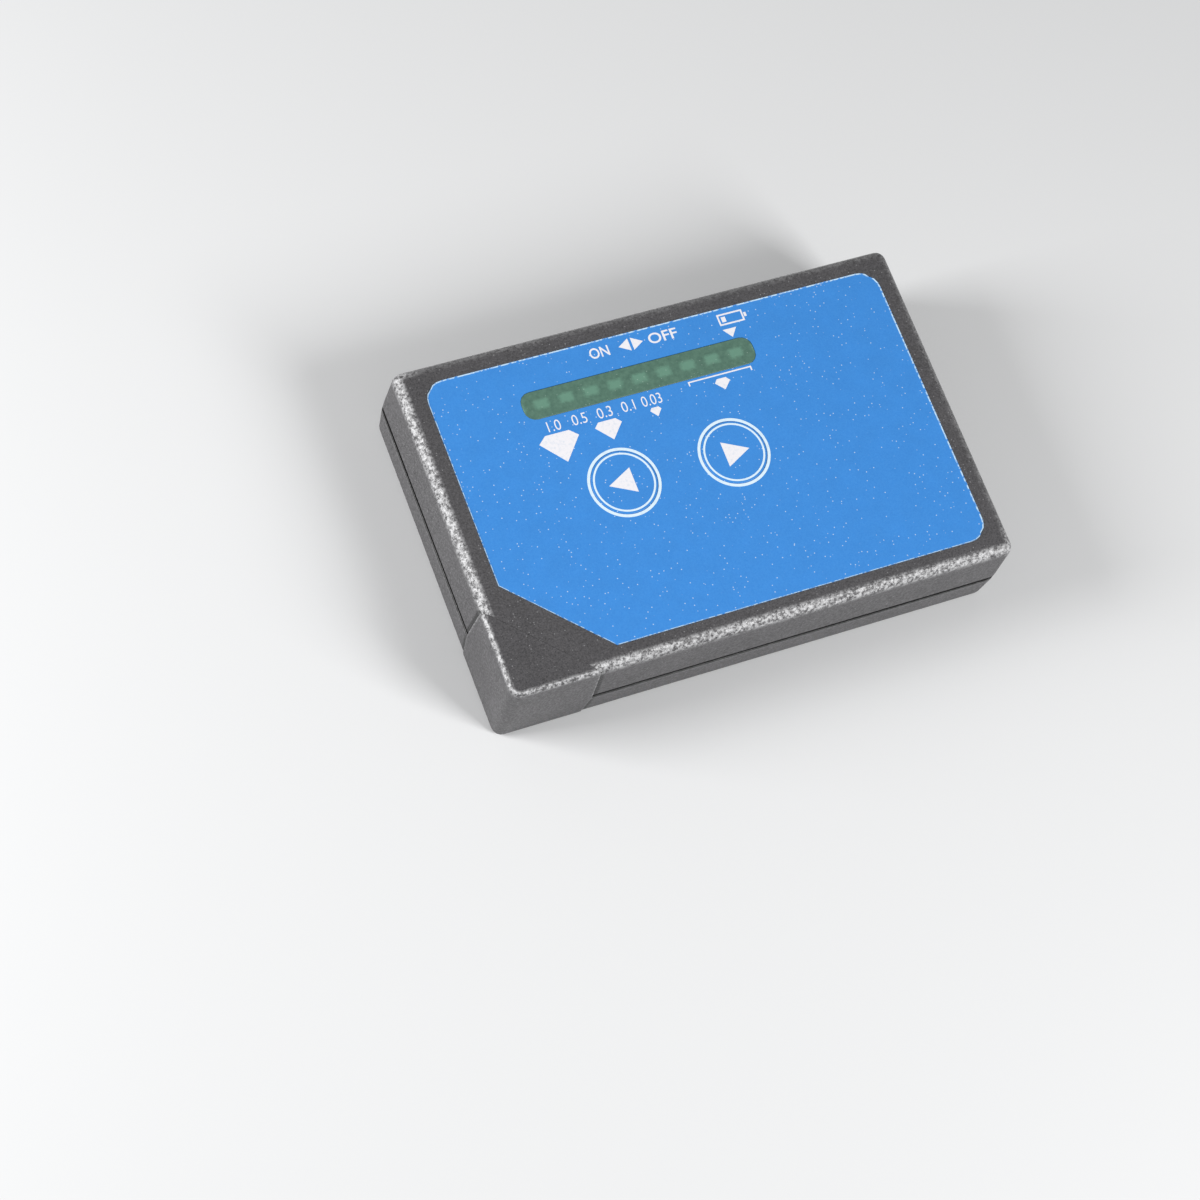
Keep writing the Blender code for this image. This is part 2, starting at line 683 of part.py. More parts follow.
def make_upper_shell():
    """Upper half of the case, with the label's recess, the button holes and the screw bosses."""
    shell = case_blank("upper_shell", case_levels(UPPER_BOTTOM, CASE_HEIGHT))
    rebate_inset = WALL - LIP_THICKNESS - FIT_GAP
    cut(
        shell,
        inner_blank("room", WALL, PARTING_HEIGHT - OVERRUN, CEILING),
        inner_blank("rebate", rebate_inset, PARTING_HEIGHT - OVERRUN, PARTING_HEIGHT + LIP_HEIGHT + FIT_GAP),
        slab("recess", label_outline(SNUG_GAP), RECESS_FLOOR, CASE_HEIGHT + OVERRUN),
    )
    for place in CASE_SCREW_PLACES.values():
        hole_top = CASE_SCREW_SINK + CASE_SCREW_HEAD + CASE_SCREW_LENGTH + FIT_GAP
        boss = cylinder("boss", place, UPPER_BOSS_RADIUS, UPPER_BOTTOM, CEILING + SNUG_GAP, ROUND_STEPS)
        pilot = CASE_SCREW_RADIUS + SNUG_GAP
        fuse(shell, boss)
        cut(shell, cylinder("pilot", place, pilot, UPPER_BOTTOM - OVERRUN, hole_top, SMALL_STEPS))
    for side_y in (-CELL_RIB_Y, CELL_RIB_Y):
        rib_low_z = CELL_LEVEL + CELL_RADIUS + FIT_GAP
        rib_high_x = RIGHT_X - WALL - CELL_RIB_END_GAP
        low = (BAY_LOW_X + FIT_GAP, side_y - CELL_RIB_THICKNESS / 2, rib_low_z)
        high = (rib_high_x, side_y + CELL_RIB_THICKNESS / 2, CEILING + SNUG_GAP)
        fuse(shell, block("cell_rib", low, high))
    probe_rib_low = PROBE_HEIGHT + BARREL_RADIUS + FIT_GAP
    rib_front = -BLOCK_DEPTH - FIT_GAP
    rib_rear = rib_front - RIB_THICKNESS
    fuse(shell, diagonal_block("rib", rib_rear, rib_front, RIB_HALF_WIDTH, probe_rib_low, CEILING + SNUG_GAP))
    for place in button_places().values():
        hole = BUTTON_RADIUS + BUTTON_CLEARANCE
        cut(shell, cylinder("button_hole", place, hole, CEILING - SNUG_GAP, CASE_HEIGHT, BUTTON_STEPS))
    slot_side = LAMP_WIDTH / 2 + LIGHT_SLOT_SIDE
    slot_low = (lamp_places()[0] - LAMP_LENGTH / 2 - LIGHT_SLOT_END, WINDOW_Y - slot_side)
    slot_high = (lamp_places()[-1] + LAMP_LENGTH / 2 + LIGHT_SLOT_END, WINDOW_Y + slot_side)
    cut(shell, block("light_slot", (*slot_low, CEILING - SNUG_GAP), (*slot_high, CASE_HEIGHT)))
    cut(shell, *slider_openings())
    cut(shell, beyond_seam("corner", 0))
    return finish(shell, "case_plastic")


def slider_face():
    """Y of the far wall's outer side at the slider's level."""
    return FAR_Y - side_inset(SLIDER_LEVEL)


def slider_openings():
    """Recess in the far wall for the thumb slider, and the slot behind it for the shank."""
    reach = (SLIDER_LENGTH + SLIDER_TRAVEL) / 2 + FIT_GAP
    rise = SLIDER_HEIGHT / 2 + FIT_GAP
    floor_y = slider_face() - SLIDER_SINK - SLIDER_THICKNESS - FIT_GAP
    recess = block(
        "slider_recess",
        (SLIDER_X - reach, floor_y, SLIDER_LEVEL - rise),
        (SLIDER_X + reach, FAR_Y + OVERRUN, SLIDER_LEVEL + rise),
    )
    slot_reach = SHANK_HALF_LENGTH + SLIDER_TRAVEL / 2 + FIT_GAP
    slot_rise = SHANK_HALF_HEIGHT + FIT_GAP
    slot = block(
        "slider_slot",
        (SLIDER_X - slot_reach, FAR_Y - OVERRUN, SLIDER_LEVEL - slot_rise),
        (SLIDER_X + slot_reach, FAR_Y, SLIDER_LEVEL + slot_rise),
    )
    return recess, slot


def make_lower_shell():
    """Lower half of the case, with its lip, board posts, battery bay and cover opening."""
    shell = case_blank("lower_shell", case_levels(0, LOWER_TOP))
    fuse(shell, inner_blank("lip", WALL - LIP_THICKNESS, WALL, PARTING_HEIGHT + LIP_HEIGHT))
    cut(shell, inner_blank("room", WALL, WALL, CASE_HEIGHT))
    base = WALL - SNUG_GAP
    for place in CASE_SCREW_PLACES.values():
        fuse(shell, cylinder("boss", place, LOWER_BOSS_RADIUS, base, LOWER_TOP, ROUND_STEPS))
    post_top = BOARD_BOTTOM - FIT_GAP
    for place in (*BOARD_SCREW_PLACES.values(), on_board("plain_post")):
        fuse(shell, cylinder("post", place, POST_RADIUS, base, post_top, ROUND_STEPS))
    for place in BOARD_SCREW_PLACES.values():
        pilot = BOARD_SCREW_RADIUS + SNUG_GAP
        pilot_low = BOARD_TOP - BOARD_SCREW_LENGTH
        cut(shell, cylinder("pilot", place, pilot, pilot_low, post_top + OVERRUN, SMALL_STEPS))
    rib_front = -BLOCK_DEPTH - FIT_GAP
    rib_top = PROBE_HEIGHT - BARREL_RADIUS - FIT_GAP
    fuse(shell, diagonal_block("rib", rib_front - RIB_THICKNESS, rib_front, RIB_HALF_WIDTH, base, rib_top))
    fuse(shell, *bay_walls(base))
    cut(shell, *cover_openings())
    for place in CASE_SCREW_PLACES.values():
        counterbore = CASE_SCREW_HEAD_RADIUS + FIT_GAP
        counterbore_top = CASE_SCREW_SINK + CASE_SCREW_HEAD + FIT_GAP
        cut(shell, cylinder("counterbore", place, counterbore, -OVERRUN, counterbore_top, ROUND_STEPS))
        hole = CASE_SCREW_RADIUS + SNUG_GAP
        cut(shell, cylinder("hole", place, hole, 0, CASE_HEIGHT, SMALL_STEPS))
    cut(shell, beyond_seam("corner", 0))
    return finish(shell, "case_plastic")


def bay_walls(base):
    """Side wall, end walls and cover rails of the battery bay."""
    wall_low_x = BAY_LOW_X - BAY_SIDE_WALL
    outer_y = BAY_HALF_WIDTH + BAY_END_WALL
    end_x = RIGHT_X - WALL
    walls = [block("side", (wall_low_x, -outer_y, base), (BAY_LOW_X, outer_y, LOWER_TOP))]
    rail_inner = CONTACT_FACE - CELL_NUB
    for side in (-1, 1):
        ends = sorted((side * BAY_HALF_WIDTH, side * outer_y))
        walls.append(block("end", (wall_low_x, ends[0], base), (end_x - WALL, ends[1], BAY_WALL_TOP)))
        rails = sorted((side * rail_inner, side * (BAY_HALF_WIDTH + BAY_END_WALL / 2)))
        rail_low_x = BAY_LOW_X - SNUG_GAP
        walls.append(block("rail", (rail_low_x, rails[0], RAIL_BOTTOM), (end_x, rails[1], RAIL_TOP)))
    return walls


def cover_openings():
    """Opening in the underside and the right end for the battery cover, and the grooves for its tongues."""
    half = COVER_HALF_WIDTH + FIT_GAP
    tongue = COVER_HALF_WIDTH + COVER_TONGUE + FIT_GAP
    out_x = RIGHT_X + OVERRUN
    end_low_x = RIGHT_X - COVER_END_THICKNESS - WALL
    return (
        block("opening", (BAY_LOW_X, -half, -OVERRUN), (out_x, half, RAIL_BOTTOM)),
        block("groove", (BAY_LOW_X, -tongue, COVER_TONGUE_LOW_Z - FIT_GAP), (out_x, tongue, RAIL_BOTTOM)),
        block("end_opening", (end_low_x, -half, -OVERRUN), (out_x, half, COVER_END_TOP + FIT_GAP)),
    )


def make_battery_cover():
    """Cover plate with side tongues and a turned-up end that closes the right end of the case."""
    cover = case_blank("battery_cover", case_levels(0, CASE_HEIGHT))
    half = COVER_HALF_WIDTH
    tongue = COVER_HALF_WIDTH + COVER_TONGUE
    out_x = RIGHT_X + OVERRUN
    end_low_x = RIGHT_X - COVER_END_THICKNESS
    envelope = block("plate", (COVER_LOW_X, -half, -OVERRUN), (out_x, half, WALL))
    fuse(
        envelope,
        block("tongues", (COVER_LOW_X, -tongue, COVER_TONGUE_LOW_Z), (out_x, tongue, WALL)),
        block("end", (end_low_x, -half, -OVERRUN), (out_x, half, COVER_END_TOP)),
    )
    keep_inside(cover, envelope)
    for index in range(COVER_GROOVES):
        low_x = RIGHT_X - COVER_GROOVE_INSET + COVER_GROOVE_PITCH * index
        low = (low_x, -COVER_GROOVE_LENGTH / 2, -OVERRUN)
        high = (low_x + COVER_GROOVE_WIDTH, COVER_GROOVE_LENGTH / 2, COVER_GROOVE_DEPTH)
        cut(cover, block("grip_groove", low, high))
    return finish(cover, "case_plastic")


def make_corner_cap():
    """Hollow cap that completes the case's corner beyond the seam."""
    cap = case_blank("corner_cap", case_levels(0, CASE_HEIGHT, EDGE_RADIUS), proud=CAP_PROUD)
    keep_inside(cap, beyond_seam("beyond", SEAM_GAP))
    cut(cap, inner_blank("hollow", WALL, WALL, CEILING))
    return finish(cap, "case_plastic")


def make_probe_housing():
    """Block between the shells that carries the probe, and plugs into the cap."""
    housing = inner_blank("probe_housing", WALL + FIT_GAP, WALL + FIT_GAP, CEILING - FIT_GAP)
    keep_inside(housing, diagonal_block("reach", -BLOCK_DEPTH, SPIGOT_DEPTH, SEAM_REACH, 0, CASE_HEIGHT))
    radius = BARREL_RADIUS + FIT_GAP
    bore = ((0, -CAP_LEG), (radius, -CAP_LEG), (radius, CAP_LEG), (0, CAP_LEG))
    cut(housing, moved(turned("bore", bore, ROUND_STEPS), PROBE_PLACE))
    return finish(housing, "inner_plastic")


def on_probe_axis(piece, finish_name):
    """Place a piece that was turned about Z on the probe's axis."""
    piece.matrix_world = PROBE_PLACE
    return finish(piece, finish_name)


def make_probe():
    """Barrel, nose, sprung tip with its heater and carrier, spring and rear plug."""
    barrel = (
        (BARREL_BORE, BARREL_REAR),
        (BARREL_RADIUS, BARREL_REAR),
        (BARREL_RADIUS, BARREL_FRONT),
        (BARREL_BORE, BARREL_FRONT),
    )
    on_probe_axis(turned("probe_barrel", barrel, ROUND_STEPS, closed=True), "steel")

    bore = TIP_RADIUS + FIT_GAP
    stub = BARREL_BORE - FIT_GAP
    nose = (
        (bore, NOSE_ROOT - NOSE_STUB),
        (stub, NOSE_ROOT - NOSE_STUB),
        (stub, NOSE_ROOT),
        (BARREL_RADIUS, NOSE_ROOT),
        (BARREL_RADIUS, NOSE_ROOT + NOSE_RIM),
        (NOSE_TIP_RADIUS, NOSE_ROOT + NOSE_LENGTH),
        (bore, NOSE_ROOT + NOSE_LENGTH),
    )
    on_probe_axis(turned("probe_nose", nose, ROUND_STEPS, closed=True), "brass")

    tip = (
        (0, TIP_REAR),
        (TIP_RADIUS, TIP_REAR),
        (TIP_RADIUS, TIP_END - TIP_POINT),
        (TIP_FLAT_RADIUS, TIP_END),
        (0, TIP_END),
    )
    on_probe_axis(turned("probe_tip", tip, SMALL_STEPS), "copper")

    pocket = CARRIER_FRONT - CARRIER_POCKET
    carrier = (
        (0, GUIDE_REAR),
        (GUIDE_RADIUS, GUIDE_REAR),
        (GUIDE_RADIUS, CARRIER_REAR),
        (stub, CARRIER_REAR),
        (stub, CARRIER_FRONT),
        (CARRIER_BORE, CARRIER_FRONT),
        (CARRIER_BORE, pocket),
        (0, pocket),
    )
    on_probe_axis(turned("probe_carrier", carrier, ROUND_STEPS), "ceramic")

    heater_outer = CARRIER_BORE - FIT_GAP
    heater = (
        (bore, TIP_REAR),
        (heater_outer, TIP_REAR),
        (heater_outer, CARRIER_FRONT),
        (bore, CARRIER_FRONT),
    )
    on_probe_axis(turned("probe_heater", heater, SMALL_STEPS, closed=True), "component_black")

    spring_front = CARRIER_REAR - FIT_GAP - PROBE_WIRE_RADIUS
    spring_rear = PLUG_FRONT + FIT_GAP + PROBE_WIRE_RADIUS
    points = coil_points(PROBE_COIL_RADIUS, spring_front - spring_rear, PROBE_COIL_TURNS)
    points = [point + Vector((0, 0, spring_rear)) for point in points]
    on_probe_axis(swept("probe_spring", points, PROBE_WIRE_RADIUS, 1), "steel")

    plug = (
        (0, PLUG_REAR),
        (BARREL_RADIUS, PLUG_REAR),
        (BARREL_RADIUS, FLANGE_FRONT),
        (stub, FLANGE_FRONT),
        (stub, PLUG_FRONT),
        (0, PLUG_FRONT),
    )
    on_probe_axis(turned("probe_plug", plug, ROUND_STEPS), "inner_plastic")


def make_label():
    """Face label with a hole for each button and for the window."""
    label = slab("face_label", label_outline(0), LABEL_BOTTOM, LABEL_TOP)
    for place in button_places().values():
        hole = BUTTON_RADIUS + BUTTON_CLEARANCE
        cut(label, cylinder("hole", place, hole, LABEL_BOTTOM - OVERRUN, CASE_HEIGHT, BUTTON_STEPS))
    cut(label, slab("slot", window_outline(SNUG_GAP), LABEL_BOTTOM - OVERRUN, CASE_HEIGHT))
    finish(label, "label_film")
    finish(slab("display_window", window_outline(0), LABEL_BOTTOM, LABEL_TOP), "window_film")


def make_buttons():
    """Two push buttons with a holding flange, each over a switch with its own plunger."""
    flange = BUTTON_RADIUS + BUTTON_FLANGE_WIDTH
    profile = (
        (0, FLANGE_BOTTOM),
        (flange, FLANGE_BOTTOM),
        (flange, FLANGE_TOP),
        (BUTTON_RADIUS, FLANGE_TOP),
        (BUTTON_RADIUS, CASE_HEIGHT - BUTTON_EDGE),
        (BUTTON_RADIUS - BUTTON_EDGE, CASE_HEIGHT),
        (0, CASE_HEIGHT),
    )
    half = SWITCH_SIZE / 2
    stem_low = SWITCH_TOP - STEM_ROOT
    stem_profile = ((0, stem_low), (STEM_RADIUS, stem_low), (STEM_RADIUS, STEM_TOP), (0, STEM_TOP))
    for side, (x, y) in button_places().items():
        button = turned(side + "_button", profile, BUTTON_STEPS)
        button.location = (x, y, 0)
        finish(button, "button_plastic")
        stem = turned(side + "_switch_stem", stem_profile, SMALL_STEPS)
        stem.location = (x, y, 0)
        finish(stem, "component_black")
        body = block(side + "_switch", (x - half, y - half, SEAT), (x + half, y + half, SWITCH_TOP))
        pocket_low = stem_low - BUTTON_TRAVEL - FIT_GAP
        pocket = cylinder("pocket", (x, y), STEM_RADIUS + FIT_GAP, pocket_low, CASE_HEIGHT, SMALL_STEPS)
        finish(cut(body, pocket), "component_black")


def make_lamps():
    """Nine rectangular lamps, and the comb that holds them on the board."""
    reach_y = HOLDER_WIDTH / 2
    end_reach = LAMP_LENGTH / 2 + SNUG_GAP + HOLDER_WALL
    holder = block(
        "lamp_holder",
        (lamp_places()[0] - end_reach, WINDOW_Y - reach_y, SEAT),
        (lamp_places()[-1] + end_reach, WINDOW_Y + reach_y, CEILING - FIT_GAP),
    )
    for number, x in enumerate(lamp_places(), start=1):
        half_x = LAMP_LENGTH / 2
        half_y = LAMP_WIDTH / 2
        pocket_low = (x - half_x - SNUG_GAP, WINDOW_Y - half_y - SNUG_GAP, BOARD_TOP)
        pocket_high = (x + half_x + SNUG_GAP, WINDOW_Y + half_y + SNUG_GAP, CASE_HEIGHT)
        cut(holder, block("pocket", pocket_low, pocket_high))
        rings = []
        for height, inset in ((SEAT, 0), (LAMP_TOP - LAMP_EDGE, 0), (LAMP_TOP, LAMP_EDGE)):
            reach_x = half_x - inset
            reach_lamp_y = half_y - inset
            rings.append([
                (x + reach_x * sign_x, WINDOW_Y + reach_lamp_y * sign_y, height)
                for sign_x, sign_y in ((-1, -1), (1, -1), (1, 1), (-1, 1))
            ])
        finish(loft(f"lamp_{number}", rings), "lamp_lens")
    finish(holder, "component_black")


def make_board():
    """Circuit board with one corner cut off behind the probe, and two screw holes."""
    board = block(
        "circuit_board", (BOARD_LOW_X, BOARD_LOW_Y, BOARD_BOTTOM), (BOARD_HIGH_X, BOARD_HIGH_Y, BOARD_TOP)
    )
    cut(board, diagonal_block("corner", BOARD_CUT, CAP_LEG, CASE_WIDTH, 0, CASE_HEIGHT))
    for place in BOARD_SCREW_PLACES.values():
        cut(board, cylinder("hole", place, BOARD_SCREW_RADIUS + FIT_GAP, 0, CASE_HEIGHT, SMALL_STEPS))
    finish(board, "board")


def make_chip(name, length):
    """Chip in a two-row package, its legs turned down to the board."""
    x, y = on_board(name)
    half_y = CHIP_WIDTH / 2
    low_z = SEAT + FIT_GAP
    chip = block(name, (x - length / 2, y - half_y, low_z), (x + length / 2, y + half_y, SEAT + CHIP_HEIGHT))
    leg_count = int(length / CHIP_LEG_PITCH)
    first = x - CHIP_LEG_PITCH * (leg_count - 1) / 2
    for index in range(leg_count):
        leg_x = first + CHIP_LEG_PITCH * index
        reach = half_y + CHIP_LEG_REACH
        low = (leg_x - CHIP_LEG_WIDTH / 2, y - reach, SEAT)
        high = (leg_x + CHIP_LEG_WIDTH / 2, y + reach, SEAT + CHIP_LEG_LEVEL)
        fuse(chip, block("leg", low, high))
    finish(chip, "component_black")


def make_board_parts():
    """Chips, capacitor, buzzer, trimmer and screws on the board."""
    make_chip("control_chip", CONTROL_CHIP_LENGTH)
    make_chip("amplifier_chip", AMPLIFIER_CHIP_LENGTH)
    place = on_board("capacitor")
    top = CEILING - CAPACITOR_HEADROOM
    finish(cylinder("capacitor", place, CAPACITOR_RADIUS, SEAT, top, ROUND_STEPS), "cell_jacket")
    place = on_board("buzzer")
    top = CEILING - BUZZER_HEADROOM
    buzzer = cylinder("buzzer", place, BUZZER_RADIUS, SEAT, top, ROUND_STEPS)
    cut(buzzer, cylinder("sound_hole", place, BUZZER_HOLE, SEAT + BUZZER_HOLE, CASE_HEIGHT, SMALL_STEPS))
    finish(buzzer, "component_black")

    x, y = on_board("trimmer")
    half = TRIMMER_SIZE / 2
    top = SEAT + TRIMMER_HEIGHT
    screw_low = top - TRIMMER_SCREW_DEPTH
    body = block("trimmer_body", (x - half, y - half, SEAT), (x + half, y + half, top))
    pocket = TRIMMER_SCREW_RADIUS + SNUG_GAP
    cut(body, cylinder("pocket", (x, y), pocket, screw_low - SNUG_GAP, CASE_HEIGHT, ROUND_STEPS))
    finish(body, "trimmer_plastic")
    screw_top = top + TRIMMER_SCREW_RISE
    screw = cylinder("trimmer_screw", (0, 0), TRIMMER_SCREW_RADIUS, screw_low, screw_top, ROUND_STEPS)
    slot_half = TRIMMER_SLOT_WIDTH / 2
    slot_low = (-TRIMMER_SCREW_RADIUS * 2, -slot_half, top)
    slot_high = (TRIMMER_SCREW_RADIUS * 2, slot_half, CASE_HEIGHT)
    cut(screw, block("slot", slot_low, slot_high))
    screw.location = (x, y, 0)
    finish(screw, "ceramic")

    for name, place in BOARD_SCREW_PLACES.items():
        head_top = SEAT + BOARD_SCREW_HEAD
        end = SEAT - BOARD_SCREW_LENGTH
        make_screw(name, place, BOARD_SCREW_RADIUS, BOARD_SCREW_HEAD_RADIUS, end, SEAT, head_top)


def make_screw(name, place, radius, head_radius, end, head_inner, head_outer):
    """Screw along Z with a cross cut in its head, between its end and its head's outer face."""
    profile = (
        (0, end),
        (radius, end),
        (radius, head_inner),
        (head_radius, head_inner),
        (head_radius, head_outer),
        (0, head_outer),
    )
    screw = turned(name, profile, SMALL_STEPS)
    way = 1 if head_outer > end else -1
    levels = sorted((head_outer - way * CROSS_DEPTH, head_outer + way * OVERRUN))
    for half_x, half_y in ((CROSS_LENGTH / 2, CROSS_WIDTH / 2), (CROSS_WIDTH / 2, CROSS_LENGTH / 2)):
        cut(screw, block("cross", (-half_x, -half_y, levels[0]), (half_x, half_y, levels[1])))
    moved(screw, Matrix.Translation((place[0], place[1], 0)))
    finish(screw, "steel")


def make_case_screws():
    """Four screws that hold the shells together from the underside."""
    for name, place in CASE_SCREW_PLACES.items():
        head_inner = CASE_SCREW_SINK + CASE_SCREW_HEAD
        end = head_inner + CASE_SCREW_LENGTH
        make_screw(name, place, CASE_SCREW_RADIUS, CASE_SCREW_HEAD_RADIUS, end, head_inner, CASE_SCREW_SINK)


def make_power_switch():
    """Thumb slider in the far wall, the switch behind it, and the lever that joins them, at OFF."""
    rest_x = SLIDER_X + SLIDER_TRAVEL / 2
    outer_y = slider_face() - SLIDER_SINK
    inner_y = outer_y - SLIDER_THICKNESS
    half_x = SLIDER_LENGTH / 2
    half_z = SLIDER_HEIGHT / 2
    slider = block(
        "power_slider",
        (rest_x - half_x, inner_y, SLIDER_LEVEL - half_z),
        (rest_x + half_x, outer_y, SLIDER_LEVEL + half_z),
    )
    for index in range(SLIDER_GROOVES):
        groove_x = rest_x + SLIDER_LENGTH * ((index + 0.5) / SLIDER_GROOVES - 0.5)
        low_x = groove_x - SLIDER_GROOVE_WIDTH / 2
        low = (low_x, outer_y - SLIDER_GROOVE_DEPTH, SLIDER_LEVEL - SLIDER_HEIGHT)
        high = (low_x + SLIDER_GROOVE_WIDTH, FAR_Y, SLIDER_LEVEL + SLIDER_HEIGHT)
        cut(slider, block("grip_groove", low, high))
    shank_end = POWER_SWITCH_FACE_Y + FIT_GAP
    shank = block(
        "shank",
        (rest_x - SHANK_HALF_LENGTH, shank_end, SLIDER_LEVEL - SHANK_HALF_HEIGHT),
        (rest_x + SHANK_HALF_LENGTH, inner_y + SLIDER_GROOVE_DEPTH, SLIDER_LEVEL + SHANK_HALF_HEIGHT),
    )
    fuse(slider, shank)
    lever_end = POWER_SWITCH_FACE_Y + LEVER_REACH
    fork = LEVER_HALF_LENGTH + FIT_GAP
    fork_low = (rest_x - fork, shank_end - OVERRUN, SLIDER_LEVEL - SLIDER_HEIGHT)
    fork_high = (rest_x + fork, lever_end + FIT_GAP, SLIDER_LEVEL + SLIDER_HEIGHT)
    finish(cut(slider, block("fork", fork_low, fork_high)), "case_plastic")

    lever_root = POWER_SWITCH_FACE_Y - LEVER_ROOT
    lever_low = (rest_x - LEVER_HALF_LENGTH, lever_root, SLIDER_LEVEL - LEVER_HALF_HEIGHT)
    lever_high = (rest_x + LEVER_HALF_LENGTH, lever_end, SLIDER_LEVEL + LEVER_HALF_HEIGHT)
    finish(block("power_lever", lever_low, lever_high), "inner_plastic")

    half_length = POWER_SWITCH_LENGTH / 2
    body = block(
        "power_switch",
        (SLIDER_X - half_length, POWER_SWITCH_FACE_Y - POWER_SWITCH_DEPTH, SEAT),
        (SLIDER_X + half_length, POWER_SWITCH_FACE_Y, SEAT + POWER_SWITCH_HEIGHT),
    )
    reach = LEVER_HALF_LENGTH + SLIDER_TRAVEL / 2 + FIT_GAP
    rise = LEVER_HALF_HEIGHT + FIT_GAP
    slot_low = (SLIDER_X - reach, lever_root - FIT_GAP, SLIDER_LEVEL - rise)
    slot_high = (SLIDER_X + reach, FAR_Y, SLIDER_LEVEL + rise)
    finish(cut(body, block("slot", slot_low, slot_high)), "steel")


def make_cells():
    """Two cells lying opposite ways, with their plates and springs."""
    body_length = CELL_LENGTH - CELL_NUB
    nub_end = CONTACT_FACE - FIT_GAP
    shoulder = nub_end - CELL_NUB
    rear = shoulder - body_length
    profile = (
        (0, rear),
        (CELL_RADIUS - CELL_EDGE, rear),
        (CELL_RADIUS, rear + CELL_EDGE),
        (CELL_RADIUS, shoulder - CELL_EDGE),
        (CELL_RADIUS - CELL_EDGE, shoulder),
        (CELL_NUB_RADIUS, shoulder),
        (CELL_NUB_RADIUS, nub_end),
        (0, nub_end),
    )
    spring_end = -CONTACT_FACE + FIT_GAP + BATTERY_WIRE_RADIUS
    spring_length = rear - FIT_GAP - BATTERY_WIRE_RADIUS - spring_end
    for number, (x, way) in enumerate(((FIRST_CELL_X, 1), (SECOND_CELL_X, -1)), start=1):
        lay_down = Matrix.Translation((x, 0, CELL_LEVEL)) @ Matrix.Rotation(-way * math.pi / 2, 4, "X")
        cell = turned(f"battery_{number}", profile, ROUND_STEPS)
        finish(moved(cell, lay_down), "cell_jacket")
        points = coil_points(BATTERY_COIL_RADIUS, spring_length, BATTERY_COIL_TURNS)
        points = [lay_down @ (point + Vector((0, 0, spring_end))) for point in points]
        finish(swept(f"battery_spring_{number}", points, BATTERY_WIRE_RADIUS, 1), "steel")
    half = CONTACT_HALF_WIDTH
    plates = {
        "positive_plate": (FIRST_CELL_X - half, FIRST_CELL_X + half, 1),
        "negative_plate": (SECOND_CELL_X - half, SECOND_CELL_X + half, 1),
        "bridge_plate": (FIRST_CELL_X - half, SECOND_CELL_X + half, -1),
    }
    for name, (low_x, high_x, side) in plates.items():
        faces = sorted((side * CONTACT_FACE, side * (CONTACT_FACE + CONTACT_THICKNESS)))
        plate = block(name, (low_x, faces[0], CONTACT_LOW_Z), (high_x, faces[1], CONTACT_TOP_Z))
        finish(plate, "steel")


def lead_points(start, end, aside_y, shares):
    """Smooth route from a cell contact to the board, by shares of the way to its end and to a side."""
    route = [
        (
            start.x + (end.x - start.x) * along,
            start.y + (aside_y - start.y) * aside,
            start.z + (end.z - start.z) * down,
        )
        for along, aside, down in shares
    ]
    return smooth_route(route)


def make_leads():
    """Leads from the probe and from the cell contacts to the board."""
    start_depth = PLUG_REAR - SNUG_GAP
    end_depth = BOARD_CUT - PROBE_LEAD_LANDING
    landing = SEAT + LEAD_RADIUS
    for number, side in ((1, -1), (2, 1)):
        route = [
            PROBE_PLACE @ Vector((
                side * PROBE_LEAD_SPACING / 2,
                (landing - PROBE_HEIGHT) * rise,
                start_depth + (end_depth - start_depth) * along,
            ))
            for along, rise in PROBE_LEAD_SHARES
        ]
        lead = swept(f"probe_lead_{number}", smooth_route(route), LEAD_RADIUS, 2)
        finish(lead, "red_lead" if number == 1 else "black_lead")

    end = Vector((BOARD_HIGH_X - LEAD_LANDING, 0, landing))
    aside_y = BOSS_SIDE_Y - LEAD_RADIUS - LEAD_GAP
    leads = {
        "battery_lead_red": (FIRST_CELL_X, aside_y, RED_LEAD_SHARES, "red_lead"),
        "battery_lead_black": (SECOND_CELL_X, aside_y - LEAD_SPACING, BLACK_LEAD_SHARES, "black_lead"),
    }
    for name, (cell_x, side_y, shares, finish_name) in leads.items():
        start_x = cell_x - CONTACT_HALF_WIDTH + LEAD_PLATE_INSET
        start = Vector((start_x, CONTACT_FACE - FIT_GAP, CONTACT_TOP_Z - LEAD_PLATE_DROP))
        finish(swept(name, lead_points(start, end, side_y, shares), LEAD_RADIUS, 2), finish_name)


def main():
    """Build the whole tester."""
    clear_scene()
    make_upper_shell()
    make_lower_shell()
    make_battery_cover()
    make_corner_cap()
    make_probe_housing()
    make_probe()
    make_label()
    make_buttons()
    make_lamps()
    make_board()
    make_board_parts()
    make_power_switch()
    make_cells()
    make_case_screws()
    make_leads()


main()
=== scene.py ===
"""Looks of a pocket thermal tester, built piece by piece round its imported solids.

Metres, +Z up. X runs along the long side, Y across it and Z up from the underside.
"""

import json
import math

import bmesh
import bpy
from bpy.props import FloatProperty, FloatVectorProperty, IntProperty, PointerProperty
from mathutils import Matrix, Vector

